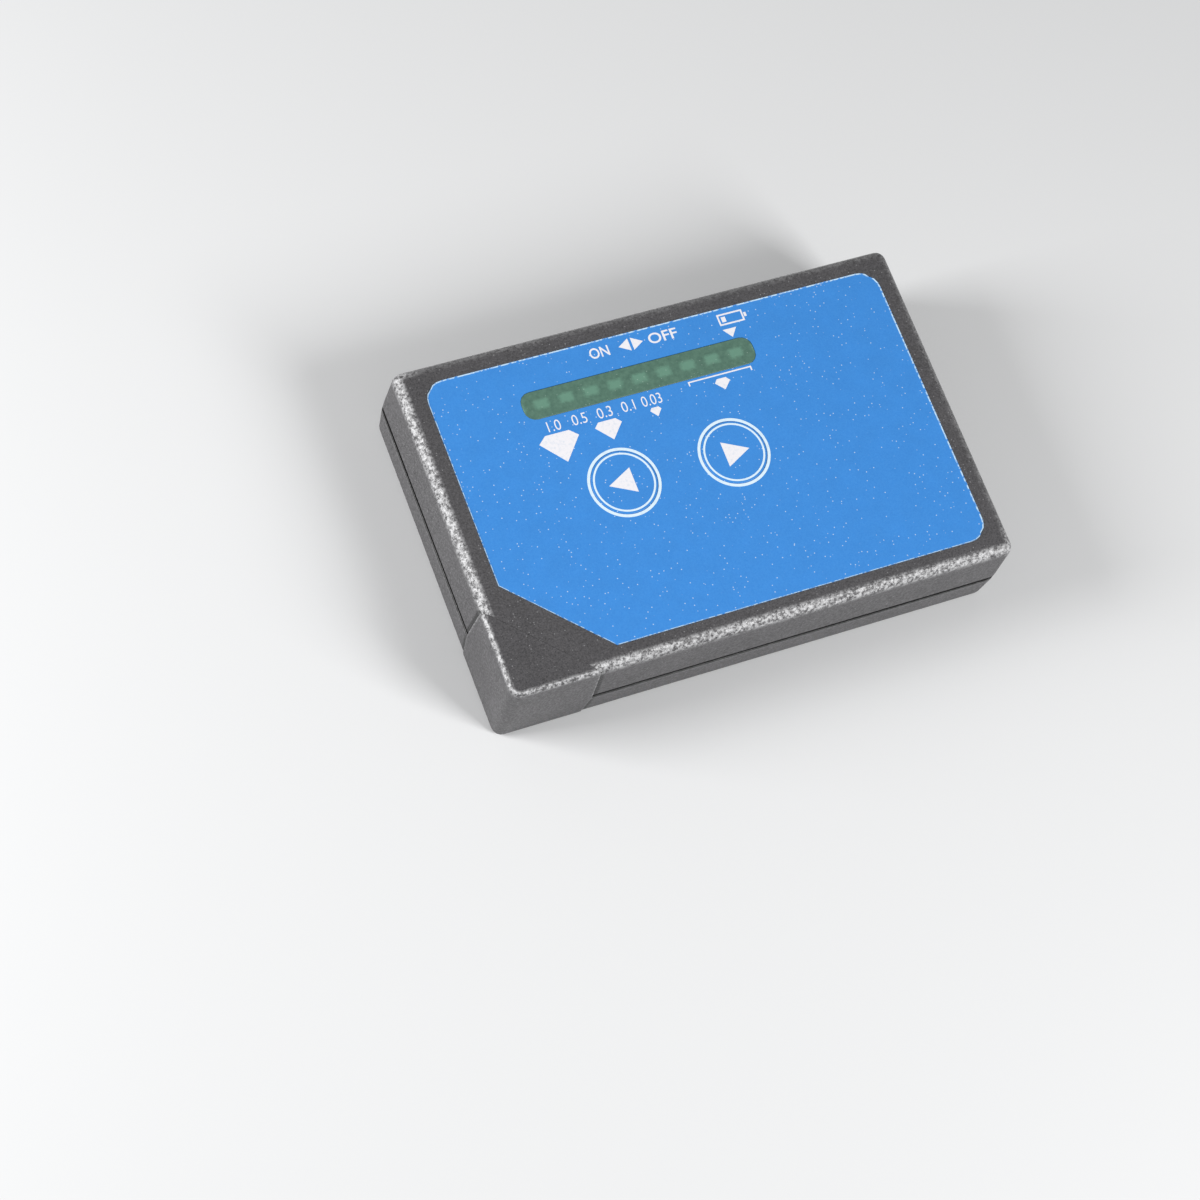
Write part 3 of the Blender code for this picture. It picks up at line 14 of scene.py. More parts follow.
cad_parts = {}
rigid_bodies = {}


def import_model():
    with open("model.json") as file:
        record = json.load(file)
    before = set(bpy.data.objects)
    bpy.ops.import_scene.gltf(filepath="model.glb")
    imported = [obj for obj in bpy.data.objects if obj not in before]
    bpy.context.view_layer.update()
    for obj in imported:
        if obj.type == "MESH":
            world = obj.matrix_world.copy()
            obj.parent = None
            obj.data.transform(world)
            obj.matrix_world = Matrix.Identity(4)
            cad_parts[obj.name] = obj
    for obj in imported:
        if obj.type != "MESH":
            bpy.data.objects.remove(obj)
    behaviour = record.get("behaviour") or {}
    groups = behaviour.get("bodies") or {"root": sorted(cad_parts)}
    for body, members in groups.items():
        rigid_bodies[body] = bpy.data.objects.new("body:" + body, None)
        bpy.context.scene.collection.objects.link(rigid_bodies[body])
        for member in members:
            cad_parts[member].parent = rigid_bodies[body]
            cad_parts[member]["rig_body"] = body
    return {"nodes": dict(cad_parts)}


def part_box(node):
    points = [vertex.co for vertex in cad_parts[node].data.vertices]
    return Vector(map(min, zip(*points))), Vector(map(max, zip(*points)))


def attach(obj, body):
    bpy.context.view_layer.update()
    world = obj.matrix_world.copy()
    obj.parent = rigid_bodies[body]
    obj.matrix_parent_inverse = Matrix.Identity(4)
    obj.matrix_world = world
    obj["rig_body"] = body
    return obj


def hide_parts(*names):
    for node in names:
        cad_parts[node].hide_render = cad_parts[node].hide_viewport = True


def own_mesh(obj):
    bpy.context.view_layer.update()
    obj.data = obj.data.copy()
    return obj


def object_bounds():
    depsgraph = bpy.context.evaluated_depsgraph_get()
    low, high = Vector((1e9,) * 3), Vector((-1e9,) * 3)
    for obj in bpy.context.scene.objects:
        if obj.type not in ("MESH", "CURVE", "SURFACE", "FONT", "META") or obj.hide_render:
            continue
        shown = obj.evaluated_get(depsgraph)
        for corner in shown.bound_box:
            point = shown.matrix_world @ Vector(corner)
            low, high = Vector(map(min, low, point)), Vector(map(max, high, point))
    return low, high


bl_info = {
    "name": "Pocket thermal tester",
    "version": (1, 0, 0),
    "blender": (4, 5, 0),
    "location": "View3D > Sidebar > Tester",
    "description": "Finished shapes and materials for the solids of a pocket thermal tester",
    "category": "Object",
}

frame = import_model()
NODES = frame["nodes"]
CAD_BOX = [list(corner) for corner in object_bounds()]

MM = 0.001
MERGE_DISTANCE = 0.001 * MM
FLAT_ANGLE = math.radians(0.4)
SHARP_ANGLE = math.radians(33)
UPRIGHT = 0.99
STEEP = 0.5
WINDOW_LOW, WINDOW_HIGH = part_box("display_window")
LABEL_LOW, LABEL_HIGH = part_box("face_label")
LABEL_MIDDLE = (LABEL_LOW + LABEL_HIGH) / 2
LABEL_CUT = 15.5 * MM
OUTLINE_REACH = 0.9 * MM
INK_ROOT = 0.005 * MM
LAMP_LOW, LAMP_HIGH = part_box("lamp_1")
LAMP_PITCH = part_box("lamp_2")[0].x - LAMP_LOW.x
LAMP_COUNT = 9
CASE_TOP = CAD_BOX[1][2]
HALF_LENGTH = (CAD_BOX[1][0] - CAD_BOX[0][0]) / 2
HALF_WIDTH = (CAD_BOX[1][1] - CAD_BOX[0][1]) / 2
CAP_LEG = 17 * MM
CAP_GAP_SUM = 0.283 * MM
SEAM_SUM = CAP_LEG - HALF_LENGTH - HALF_WIDTH
CAP_SEAM_SUM = SEAM_SUM - CAP_GAP_SUM
SEAM_REACH = 0.5 * MM
SIDE_REACH = 0.75 * MM
LEVEL_REACH = 0.03 * MM
JOINT_GAP = 0.3 * MM
JOINT_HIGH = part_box("upper_shell")[0].z
JOINT_LOW = JOINT_HIGH - JOINT_GAP
SHELL_ROUNDING = 2 * MM
CAP_ROUNDING = 1.1 * MM
SHEET_ROUNDING = 0.1 * MM


# Meshes


def body_of(node):
    """Name of the body that a node belongs to."""
    return NODES[node]["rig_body"]


def add_piece(name, shape, finishes, body, even=False):
    """Turn a bmesh into a piece that rides on a body; even keeps large flat faces flat in the shading."""
    mesh = bpy.data.meshes.new(name)
    shape.to_mesh(mesh)
    shape.free()
    for material in finishes:
        mesh.materials.append(material)
    mesh.shade_smooth()
    mesh.set_sharp_from_angle(angle=SHARP_ANGLE)
    piece = bpy.data.objects.new(name, mesh)
    bpy.context.scene.collection.objects.link(piece)
    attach(piece, body)
    if even:
        piece.modifiers.new("flat faces", "WEIGHTED_NORMAL").keep_sharp = True
    return piece


def stand_in(node, name, shape, finishes, even=False):
    """Turn a bmesh into a piece that takes a node's place on the node's own body."""
    piece = add_piece(name, shape, finishes, body_of(node), even)
    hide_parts(node)
    return piece


def dress(material, *nodes):
    """Give nodes that keep their own shape a material."""
    for node in nodes:
        materials = NODES[node].data.materials
        materials.clear()
        materials.append(material)


def merged_copy(node):
    """A bmesh of a node's own shape, its loose triangles merged and its flat areas cleaned."""
    shape = bmesh.new()
    shape.from_mesh(NODES[node].data)
    bmesh.ops.remove_doubles(shape, verts=shape.verts, dist=MERGE_DISTANCE)
    bmesh.ops.dissolve_limit(
        shape, angle_limit=FLAT_ANGLE, verts=shape.verts, edges=shape.edges, delimit={"NORMAL"}
    )
    return shape


def soften(shape, width, chosen, segments=2):
    """Round the sharp edges of a shape that a test picks by their two ends."""
    edges = [
        edge
        for edge in shape.edges
        if len(edge.link_faces) == 2
        and edge.calc_face_angle() > SHARP_ANGLE
        and chosen(edge.verts[0].co, edge.verts[1].co)
    ]
    bmesh.ops.bevel(
        shape,
        geom=edges,
        offset=width,
        segments=segments,
        profile=0.5,
        affect="EDGES",
        material=-1,
        clamp_overlap=True,
    )


def everywhere(*points):
    """The test that any points pass."""
    return True


def at_height(points, height):
    """Whether all the points lie at a height."""
    return all(abs(point.z - height) < LEVEL_REACH for point in points)


def profile_of(rows):
    """Profile points from rows of a radius and millimetres out from it, a height and millimetres up."""
    return [(radius + out * MM, height + up * MM) for radius, out, height, up in rows]


def turned(profile, steps, closed=False):
    """A bmesh of a profile of (radius, height) points turned about Z."""
    shape = bmesh.new()
    points = [shape.verts.new((radius, 0, height)) for radius, height in profile]
    edges = [shape.edges.new(pair) for pair in zip(points, points[1:])]
    if closed:
        edges.append(shape.edges.new((points[-1], points[0])))
    bmesh.ops.spin(
        shape, geom=points + edges, axis=(0, 0, 1), angle=math.tau, steps=steps, use_merge=True
    )
    bmesh.ops.remove_doubles(shape, verts=shape.verts, dist=MERGE_DISTANCE)
    bmesh.ops.recalc_face_normals(shape, faces=shape.faces)
    return shape


def ring_plate(middle, inner, outer, low_z, high_z, steps):
    """A bmesh of a flat ring round a middle."""
    profile = ((inner, low_z), (outer, low_z), (outer, high_z), (inner, high_z))
    shape = turned(profile, steps, closed=True)
    bmesh.ops.translate(shape, vec=(middle.x, middle.y, 0), verts=shape.verts)
    return shape


def flat_plate(outlines, low_z, high_z, middle=(0.0, 0.0)):
    """A bmesh of flat plates, one for each outline of (x, y) points in millimetres from a middle."""
    shape = bmesh.new()
    for outline in outlines:
        corners = [(middle[0] + x * MM, middle[1] + y * MM, low_z) for x, y in outline]
        shape.faces.new([shape.verts.new(corner) for corner in corners])
    bmesh.ops.recalc_face_normals(shape, faces=shape.faces)
    raised = bmesh.ops.extrude_face_region(shape, geom=shape.faces[:], use_keep_orig=True)
    tops = [item for item in raised["geom"] if isinstance(item, bmesh.types.BMVert)]
    bmesh.ops.translate(shape, vec=(0, 0, high_z - low_z), verts=tops)
    bmesh.ops.recalc_face_normals(shape, faces=shape.faces)
    return shape


def lettering(texts, low_z, high_z, weight):
    """A bmesh of texts, from rows of a text, its middle, width and half height in millimetres."""
    shape = bmesh.new()
    for text, across, up, width, half_height in texts:
        curve = bpy.data.curves.new("lettering", "FONT")
        curve.body = text
        curve.offset = weight
        curve.extrude = 0.5
        curve.resolution_u = 6
        writer = bpy.data.objects.new("lettering", curve)
        bpy.context.scene.collection.objects.link(writer)
        bpy.context.view_layer.update()
        written = writer.evaluated_get(bpy.context.evaluated_depsgraph_get())
        mesh = bpy.data.meshes.new_from_object(written)
        bpy.data.objects.remove(writer, do_unlink=True)
        bpy.data.curves.remove(curve)
        corners = [vertex.co for vertex in mesh.vertices]
        start = Vector([*map(min, *corners)])
        end = Vector([*map(max, *corners)])
        low = Vector(((across - width / 2) * MM, (up - half_height) * MM, low_z))
        high = Vector(((across + width / 2) * MM, (up + half_height) * MM, high_z))
        scales = [(high[axis] - low[axis]) / (end[axis] - start[axis]) for axis in range(3)]
        stretch = Matrix.Diagonal((*scales, 1.0))
        mesh.transform(Matrix.Translation(low) @ stretch @ Matrix.Translation(-start))
        shape.from_mesh(mesh)
        bpy.data.meshes.remove(mesh)
    return shape


def helix(radius, wire, length, turns, steps_per_turn, sides):
    """A bmesh of a round wire wound about Z, from zero up to a length, closed at both ends."""
    shape = bmesh.new()
    made = bmesh.ops.create_circle(shape, cap_ends=True, segments=sides, radius=wire)
    stand = Matrix.Translation((radius, 0, 0)) @ Matrix.Rotation(math.pi / 2, 4, "X")
    bmesh.ops.transform(shape, matrix=stand, verts=made["verts"])
    steps = turns * steps_per_turn
    bmesh.ops.spin(
        shape,
        geom=shape.verts[:] + shape.edges[:] + shape.faces[:],
        axis=(0, 0, 1),
        dvec=(0, 0, length / steps),
        angle=math.tau * turns,
        steps=steps,
    )
    bmesh.ops.recalc_face_normals(shape, faces=shape.faces)
    return shape


# Materials

# Most of a noise lies between these two levels.
MOST = (0.3, 0.7)
INK_GRAIN = 0.00001
FINE_GRAIN = 0.00002
DEEP_GRAIN = 0.00003
BRUSH_GRAIN = 0.000008
TRACK_PITCH = 0.00127
PAD_PITCH = 0.00254
SHADE = (0.006, 0.006, 0.006)
SHADE_COVER = 0.88
PIT_LEVELS = (0.36, 0.64)


def toned(colour, share):
    """A colour made darker or lighter by a share, up to white."""
    return [min(1.0, share * part) for part in colour]


class Finish:
    """One material under construction: its tree, its shader and the place that its patterns read."""

    def __init__(self, name, sockets, scale=(1.0, 1.0, 1.0)):
        self.material = bpy.data.materials.new(name)
        self.material.use_nodes = True
        self.tree = self.material.node_tree
        self.shader = self.tree.nodes["Principled BSDF"]
        for socket, value in sockets.items():
            self.shader.inputs[socket].default_value = value
        mapping = self.add("ShaderNodeMapping")
        mapping.inputs["Scale"].default_value = scale
        self.tree.links.new(self.add("ShaderNodeTexCoord").outputs["Object"], mapping.inputs["Vector"])
        self.place = mapping.outputs["Vector"]

    def add(self, kind):
        """Add a node of a kind."""
        return self.tree.nodes.new(kind)

    def set_inputs(self, node, inputs):
        """Set or link the named or numbered inputs of a node."""
        for key, value in inputs.items():
            if isinstance(value, bpy.types.NodeSocket):
                self.tree.links.new(value, node.inputs[key])
            else:
                node.inputs[key].default_value = value
        return node

    def noise(self, scale, detail=2.0, rough=0.5):
        """Smooth random grain, 0 to 1, with a scale per metre."""
        node = self.add("ShaderNodeTexNoise")
        self.set_inputs(node, {"Vector": self.place, "Scale": scale, "Detail": detail, "Roughness": rough})
        return node.outputs["Fac"]

    def span(self, value, from_low, from_high, to_low=0.0, to_high=1.0):
        """Stretch a range of a value to another range, and hold it there."""
        node = self.add("ShaderNodeMapRange")
        names = ("Value", "From Min", "From Max", "To Min", "To Max")
        limits = zip(names, (value, from_low, from_high, to_low, to_high))
        return self.set_inputs(node, dict(limits)).outputs["Result"]

    def maths(self, operation, first, second=0.0):
        """One sum of two values."""
        node = self.add("ShaderNodeMath")
        node.operation = operation
        return self.set_inputs(node, {0: first, 1: second}).outputs["Value"]

    def both(self, first, second):
        """One mask times another."""
        return self.maths("MULTIPLY", first, second)

    def either(self, first, second):
        """The stronger of two masks."""
        return self.maths("MAXIMUM", first, second)

    def mix(self, factor, first, second, kind="MIX"):
        """Join two colours, by values or by their own outputs, in one of the ways of a Mix node."""
        node = self.add("ShaderNodeMix")
        node.data_type = "RGBA"
        node.blend_type = kind
        ends = {"Factor": factor}
        for key, part in ((6, first), (7, second)):
            ends[key] = part if isinstance(part, bpy.types.NodeSocket) else (*part, 1.0)
        return self.set_inputs(node, ends).outputs[2]

    def mottled(self, colour, grain, low, high, levels=MOST):
        """A colour that runs from a darker to a lighter share of itself with a grain."""
        return self.mix(self.span(grain, *levels), toned(colour, low), toned(colour, high))

    def shaded(self, body, grain, low, high, levels=MOST, factor=1.0):
        """A colour times another that runs from low to high with a grain."""
        return self.mix(factor, body, self.mix(self.span(grain, *levels), low, high), "MULTIPLY")

    def dotted(self, body, dots, cover, colour):
        """A colour with dots of another over it."""
        return self.mix(self.both(dots, cover), body, colour)

    def specks(self, scale, size, share):
        """Mask of small dots: a share of the cells of a random grid hold one, of a size in cells."""
        node = self.add("ShaderNodeTexVoronoi")
        self.set_inputs(node, {"Vector": self.place, "Scale": scale})
        split = self.add("ShaderNodeSeparateColor")
        self.set_inputs(split, {"Color": node.outputs["Color"]})
        picked = self.maths("LESS_THAN", split.outputs["Red"], share)
        dot = self.span(node.outputs["Distance"], size, size * 0.5)
        return self.both(dot, picked)

    def axes(self):
        """The three coordinates of the pattern's place."""
        node = self.add("ShaderNodeSeparateXYZ")
        self.set_inputs(node, {"Vector": self.place})
        return node.outputs["X"], node.outputs["Y"], node.outputs["Z"]

    def colour(self, output):
        """Link the base colour."""
        self.set_inputs(self.shader, {"Base Color": output})

    def rough(self, grain, low, high):
        """Let the roughness run from low to high with a grain."""
        self.set_inputs(self.shader, {"Roughness": self.span(grain, *MOST, low, high)})

    def bump(self, height, strength, distance):
        """Raise the surface by a height pattern, over any bump that is there already."""
        node = self.add("ShaderNodeBump")
        self.set_inputs(node, {"Strength": strength, "Distance": distance, "Height": height})
        below = self.shader.inputs["Normal"].links
        if below:
            self.tree.links.new(below[0].from_socket, node.inputs["Normal"])
        self.tree.links.new(node.outputs["Normal"], self.shader.inputs["Normal"])


def spark_plastic(name, settings, rounding, jointed=False):
    """Charcoal moulding with a spark-eroded grain, a painted highlight of pale grain on its top edges, pale
    specks of dust and painted glint, and, when jointed, painted shade in the joint and beside the cap's
    seam.
    """
    finish = Finish(name, {"Specular IOR Level": 0.65, "Roughness": 0.3})
    along, across, height = finish.axes()
    fine = finish.noise(3300.0, 3.0, 0.7)
    pits = finish.noise(2300.0, 2.0, 0.7)
    streaks = finish.noise(1500.0, 3.0, 0.75)
    base = CASE_TOP - rounding
    flank = finish.span(height, base, base - 0.5 * MM)
    body = finish.mottled(settings.colour, finish.noise(180.0, 4.0, 0.6), 0.9, 1.1)
    body = finish.shaded(body, finish.noise(1400.0, 3.0, 0.7), (0.8, 0.8, 0.8), (1.2, 1.2, 1.2))
    body = finish.shaded(body, fine, (0.7, 0.7, 0.7), (1.42, 1.41, 1.4), (0.35, 0.68))
    body = finish.shaded(body, pits, (0.72, 0.72, 0.72), (1.3, 1.3, 1.3), PIT_LEVELS, flank)
    # Pale specks: dust, and painted glints of the spark-eroded grain
    body = finish.dotted(body, finish.specks(1500.0, 0.17, 0.45), 0.6, settings.speck_colour)

    # Shade in the joint between the shells, and beside the cap's seam
    seam = finish.maths("ADD", along, across)
    lower_lip = JOINT_LOW - settings.parting_opening
    upper_lip = JOINT_HIGH + settings.parting_opening
    if jointed:
        over = finish.span(height, lower_lip - 0.4 * MM, lower_lip - 0.05 * MM)
        under = finish.span(height, upper_lip + 0.4 * MM, upper_lip + 0.05 * MM)
        beside = finish.span(seam, SEAM_SUM + 0.95 * MM, SEAM_SUM + 0.6 * MM)
        below = finish.span(height, CASE_TOP - 0.5 * MM, CASE_TOP - 0.9 * MM)
        dark = finish.either(finish.both(over, under), finish.both(beside, below))
        body = finish.dotted(body, dark, SHADE_COVER, SHADE)

    # Painted highlight: pale grain on the top edges, most on the near and the left one
    top_side = finish.span(height, CASE_TOP - 0.03 * MM, CASE_TOP - 0.2 * MM)
    edge = finish.both(top_side, finish.span(height, base - 0.1 * MM, base + 0.45 * rounding))
    lit_sides = finish.either(
        finish.span(across, 6 * MM - HALF_WIDTH, 2.5 * MM - HALF_WIDTH),
        finish.span(along, 6 * MM - HALF_LENGTH, 2.5 * MM - HALF_LENGTH),
    )
    highlit = finish.both(edge, finish.span(lit_sides, 0.0, 1.0, 0.22))
    if jointed:
        # Painted highlight: a thin pale line on the lower shell's lip, below the joint
        lit = finish.both(
            finish.span(height, lower_lip - 0.8 * MM, lower_lip - 0.55 * MM),
            finish.span(height, lower_lip - 0.3 * MM, lower_lip - 0.4 * MM),
        )
        highlit = finish.either(highlit, finish.both(lit, 0.3))
    else:
        # Painted highlight along the cap's edges at its seam
        lit = finish.span(seam, CAP_SEAM_SUM - 0.45 * MM, CAP_SEAM_SUM - 0.2 * MM)
        lit = finish.both(lit, finish.span(height, CAP_ROUNDING, CASE_TOP - CAP_ROUNDING, 0.15, 0.5))
        highlit = finish.either(highlit, finish.both(lit, top_side))
    # Painted highlight: the pale grains that show where the mask is high
    highlight_grains = finish.both(highlit, finish.span(streaks, 0.41, 0.61))
    finish.colour(finish.dotted(body, highlight_grains, settings.edge_highlight, settings.highlight_colour))

    duller = finish.both(flank, finish.span(pits, *PIT_LEVELS, 0.2, 0.08))
    roughness = finish.maths("ADD", finish.span(fine, 0.35, 0.7, 0.26, 0.42), duller)
    finish.set_inputs(finish.shader, {"Roughness": roughness})
    finish.bump(finish.both(streaks, finish.span(edge, 0.0, 1.0, 0.2)), 1.0, settings.edge_grain)
    finish.bump(finish.noise(2800.0, 2.0, 0.6), 0.9, settings.grain_depth)
    return finish.material


def satin_film(name, settings):
    """Printed film with a fine weave, slight mottling and many small white specks."""
    finish = Finish(name, {"Specular IOR Level": 0.4, "Roughness": 0.4})
    weave = finish.noise(3800.0, 2.0, 0.6)
    body = finish.mottled(settings.label_colour, finish.noise(260.0, 3.0, 0.6), 0.97, 1.03)
    body = finish.shaded(body, weave, (0.9, 0.94, 0.97), (1.1, 1.06, 1.03))
    finish.colour(finish.dotted(body, finish.specks(1350.0, 0.18, 0.42), 0.8, settings.speck_colour))
    finish.rough(finish.noise(1400.0), 0.34, 0.48)
    finish.bump(weave, 0.3, FINE_GRAIN)
    return finish.material


def white_ink(name, colour):
    """Screen-printed white with slightly uneven cover."""
    finish = Finish(name, {"Specular IOR Level": 0.35, "Roughness": 0.5})
    cover = finish.noise(2200.0, 3.0, 0.6)
    thin = [part * share for part, share in zip(colour, (0.84, 0.9, 0.95))]
    finish.colour(finish.mix(finish.span(cover, 0.3, 0.5), thin, colour))
    finish.rough(cover, 0.42, 0.58)
    finish.bump(cover, 0.2, INK_GRAIN)
    return finish.material


def cut_edge(settings):
    """Label edge: pale where the film is cut, broken by dots of its own colour."""
    finish = Finish("label_edge", {"Specular IOR Level": 0.35, "Roughness": 0.5})
    ragged = finish.noise(1500.0, 2.0, 0.6)
    finish.colour(finish.mix(finish.span(ragged, 0.38, 0.54), settings.label_colour, settings.rim_colour))
    finish.rough(ragged, 0.4, 0.58)
    finish.bump(ragged, 0.2, INK_GRAIN)
    return finish.material


def tinted_window(settings):
    """Green window film, with a soft paler field over each lamp."""
    finish = Finish("tinted_window", {"Specular IOR Level": 0.45, "Roughness": 0.36})
    along, across, _ = finish.axes()
    wobble = finish.span(finish.noise(1700.0, 3.0, 0.7), 0.2, 0.8, -0.07, 0.07)
    middle = (LAMP_LOW + LAMP_HIGH) / 2
    half = (LAMP_HIGH - LAMP_LOW) / 2
    steps = finish.maths("DIVIDE", finish.maths("SUBTRACT", along, middle.x - LAMP_PITCH / 2), LAMP_PITCH)
    aside = finish.maths("ABSOLUTE", finish.maths("SUBTRACT", finish.maths("FRACT", steps), 0.5))
    share = half.x / LAMP_PITCH
    in_x = finish.span(finish.maths("ADD", aside, wobble), share * 1.02, share * 0.55)
    away = finish.maths("ABSOLUTE", finish.maths("SUBTRACT", across, middle.y))
    ragged = finish.maths("ADD", away, finish.both(wobble, 4 * MM))
    in_y = finish.span(ragged, half.y * 0.95, half.y * 0.45)
    mottle = finish.noise(1200.0, 4.0, 0.7)
    body = finish.shaded(settings.window_colour, mottle, (0.8, 0.82, 0.82), (1.2, 1.16, 1.14))
    body = finish.dotted(body, finish.both(in_x, in_y), 0.85, settings.lamp_colour)
    finish.colour(finish.dotted(body, finish.specks(1500.0, 0.15, 0.4), 0.4, (0.55, 0.68, 0.6)))
    finish.rough(mottle, 0.28, 0.44)
    finish.bump(finish.noise(2400.0), 0.3, DEEP_GRAIN)
    return finish.material


def moulded_plastic(name, colour, roughness, grain_scale=1800.0):
    """Plain moulding with fine grain and slight flow marks."""
    finish = Finish(name, {"Specular IOR Level": 0.45, "Roughness": roughness})
    finish.colour(finish.mottled(colour, finish.noise(120.0, 4.0, 0.6), 0.88, 1.08))
    fine = finish.noise(grain_scale, 3.0, 0.6)
    finish.rough(fine, roughness - 0.07, roughness + 0.1)
    finish.bump(fine, 0.4, FINE_GRAIN)
    return finish.material


def plated_metal(name, colour, roughness, brush=(1.0, 1.0, 1.0)):
    """Metal with fine brush lines, uneven polish and darker stains."""
    finish = Finish(name, {"Metallic": 1.0, "Roughness": roughness}, brush)
    finish.colour(finish.mottled(colour, finish.noise(300.0, 4.0, 0.65), 0.72, 1.0, (0.35, 0.6)))
    lines = finish.noise(2500.0, 3.0, 0.6)
    finish.rough(lines, roughness - 0.07, roughness + 0.12)
    finish.bump(lines, 0.25, BRUSH_GRAIN)
    return finish.material


def solder_mask(name, colour):
    """Green board lacquer over copper tracks that stand slightly proud, with tinned pads."""
    finish = Finish(name, {"Specular IOR Level": 0.5, "Roughness": 0.32})
    along, across, _ = finish.axes()
    bend = finish.span(finish.noise(90.0, 1.0), 0.0, 1.0, -1.2 * MM, 1.2 * MM)
    row = finish.maths("FRACT", finish.maths("DIVIDE", finish.maths("ADD", across, bend), TRACK_PITCH))
    column = finish.maths("FRACT", finish.maths("DIVIDE", finish.maths("ADD", along, bend), PAD_PITCH))
    track = finish.span(finish.maths("ABSOLUTE", finish.maths("SUBTRACT", row, 0.5)), 0.2, 0.16)
    track = finish.both(track, finish.span(finish.noise(160.0, 0.0), 0.48, 0.52))
    body = finish.mix(track, toned(colour, 0.75), toned(colour, 1.5))
    body = finish.mix(finish.span(column, 0.0, 0.06, 0.15, 0.0), body, (0.55, 0.6, 0.5))
    finish.colour(finish.mix(finish.specks(390.0, 0.22, 0.35), body, (0.7, 0.7, 0.66)))
    finish.rough(finish.noise(900.0), 0.26, 0.4)
    finish.bump(track, 0.4, DEEP_GRAIN)
    return finish.material


def cell_jacket(name):
    """Metallised cell wrap: dark green with a pale band near each end and fine scuffs round it."""
    finish = Finish(name, {"Metallic": 0.55, "Roughness": 0.3})
    reach = finish.maths("ABSOLUTE", finish.axes()[1])
    band = finish.both(finish.span(reach, 15.8 * MM, 15.9 * MM), finish.span(reach, 17.9 * MM, 17.8 * MM))
    scuff = finish.noise(420.0, 5.0, 0.7)
    body = finish.mix(finish.span(scuff, 0.35, 0.65), (0.03, 0.11, 0.06), (0.05, 0.17, 0.1))
    finish.colour(finish.mix(band, body, (0.55, 0.56, 0.52)))
    finish.rough(scuff, 0.22, 0.42)
    finish.bump(scuff, 0.15, FINE_GRAIN)
    return finish.material


# Settings


def colour_setting(name, text, default):
    """A colour that a user can change."""
    return FloatVectorProperty(
        name=name, description=text, subtype="COLOR", min=0.0, max=1.0, default=default
    )


def length_setting(name, text, default):
    """A length that a user can change."""
    return FloatProperty(
        name=name, description=text, subtype="DISTANCE", unit="LENGTH",
        min=0.0, precision=5, default=default,
    )


def power_setting(name, text, default):
    """A lamp's power that a user can change."""
    return FloatProperty(name=name, description=text, unit="POWER", min=0.0, default=default)


class TesterCaseSettings(bpy.types.PropertyGroup):
    """Sizes and colours of the case."""

    colour: colour_setting("Plastic", "Colour of the case's moulding", (0.076, 0.074, 0.078))
    # Specks in the case's grain: dust, and painted glints
    speck_colour: colour_setting("Specks", "Colour of the dust specks in the grain", (0.42, 0.42, 0.43))
    grain_depth: length_setting("Grain depth", "Depth of the spark-eroded grain", 0.00008)
    edge_grain: length_setting("Edge grain", "Depth of the coarse grain on the top edges", 0.0002)
    # Pale grain painted on the top edges as a highlight: its colour and how much of it shows
    highlight_colour: colour_setting("Highlight", "Colour of the rubbed grain on the top edges", (0.68, 0.68, 0.69))
    edge_highlight: FloatProperty(
        name="Edge highlight", description="How pale the rubbed grain is",
        subtype="FACTOR", min=0.0, max=1.0, default=0.88,
    )
    edge_width: length_setting("Edge rounding", "Rounding of the small mouldings' edges", 0.00012)
    parting_width: length_setting("Joint rounding", "Rounding of the shells where they meet", 0.00018)
    parting_opening: length_setting("Joint opening", "How far each shell draws back at the joint", 0.00045)
    tight_width: length_setting("Tight rounding", "Rounding of the crisp edges on the top", 0.00005)
    seam_closing: length_setting("Seam closing", "How far the cap's seam is drawn in on top", 0.00016)


class TesterFaceSettings(bpy.types.PropertyGroup):
    """Sizes and colours of the label, window, buttons and print."""

    label_colour: colour_setting("Label", "Colour of the printed film", (0.048, 0.256, 0.685))
    rim_colour: colour_setting("Label edge", "Colour of the film's cut edge", (0.5, 0.7, 0.88))
    speck_colour: colour_setting("Film specks", "Colour of the specks in the film", (0.62, 0.74, 0.88))
    ink_colour: colour_setting("White print", "Colour of the marks", (0.86, 0.845, 0.88))
    ring_colour: colour_setting("Ring print", "Colour of the rings round the buttons", (0.72, 0.86, 0.95))
    window_colour: colour_setting("Window", "Colour of the window film", (0.09, 0.182, 0.138))
    lamp_colour: colour_setting("Lamp fields", "Colour of the window over a lamp", (0.145, 0.3, 0.22))
    rim_width: length_setting("Label edge width", "Width of the film's pale edge", 0.00019)
    rim_rise: length_setting("Label edge rise", "How far the film's cut edge is turned up", 0.00012)
    gap_cover: length_setting("Gap cover", "How far the film reaches over the gap round it", 0.00012)
    window_rounding: length_setting("Window rounding", "Rounding of the window's upper edge", 0.00015)
    button_grow: length_setting("Button growth", "How far a button fills the gap round it", 0.0002)
    ink_height: length_setting("Print height", "How far the print stands over the film", 0.00002)
    round_steps: IntProperty(name="Round steps", description="Faces round a button", min=24, default=96)


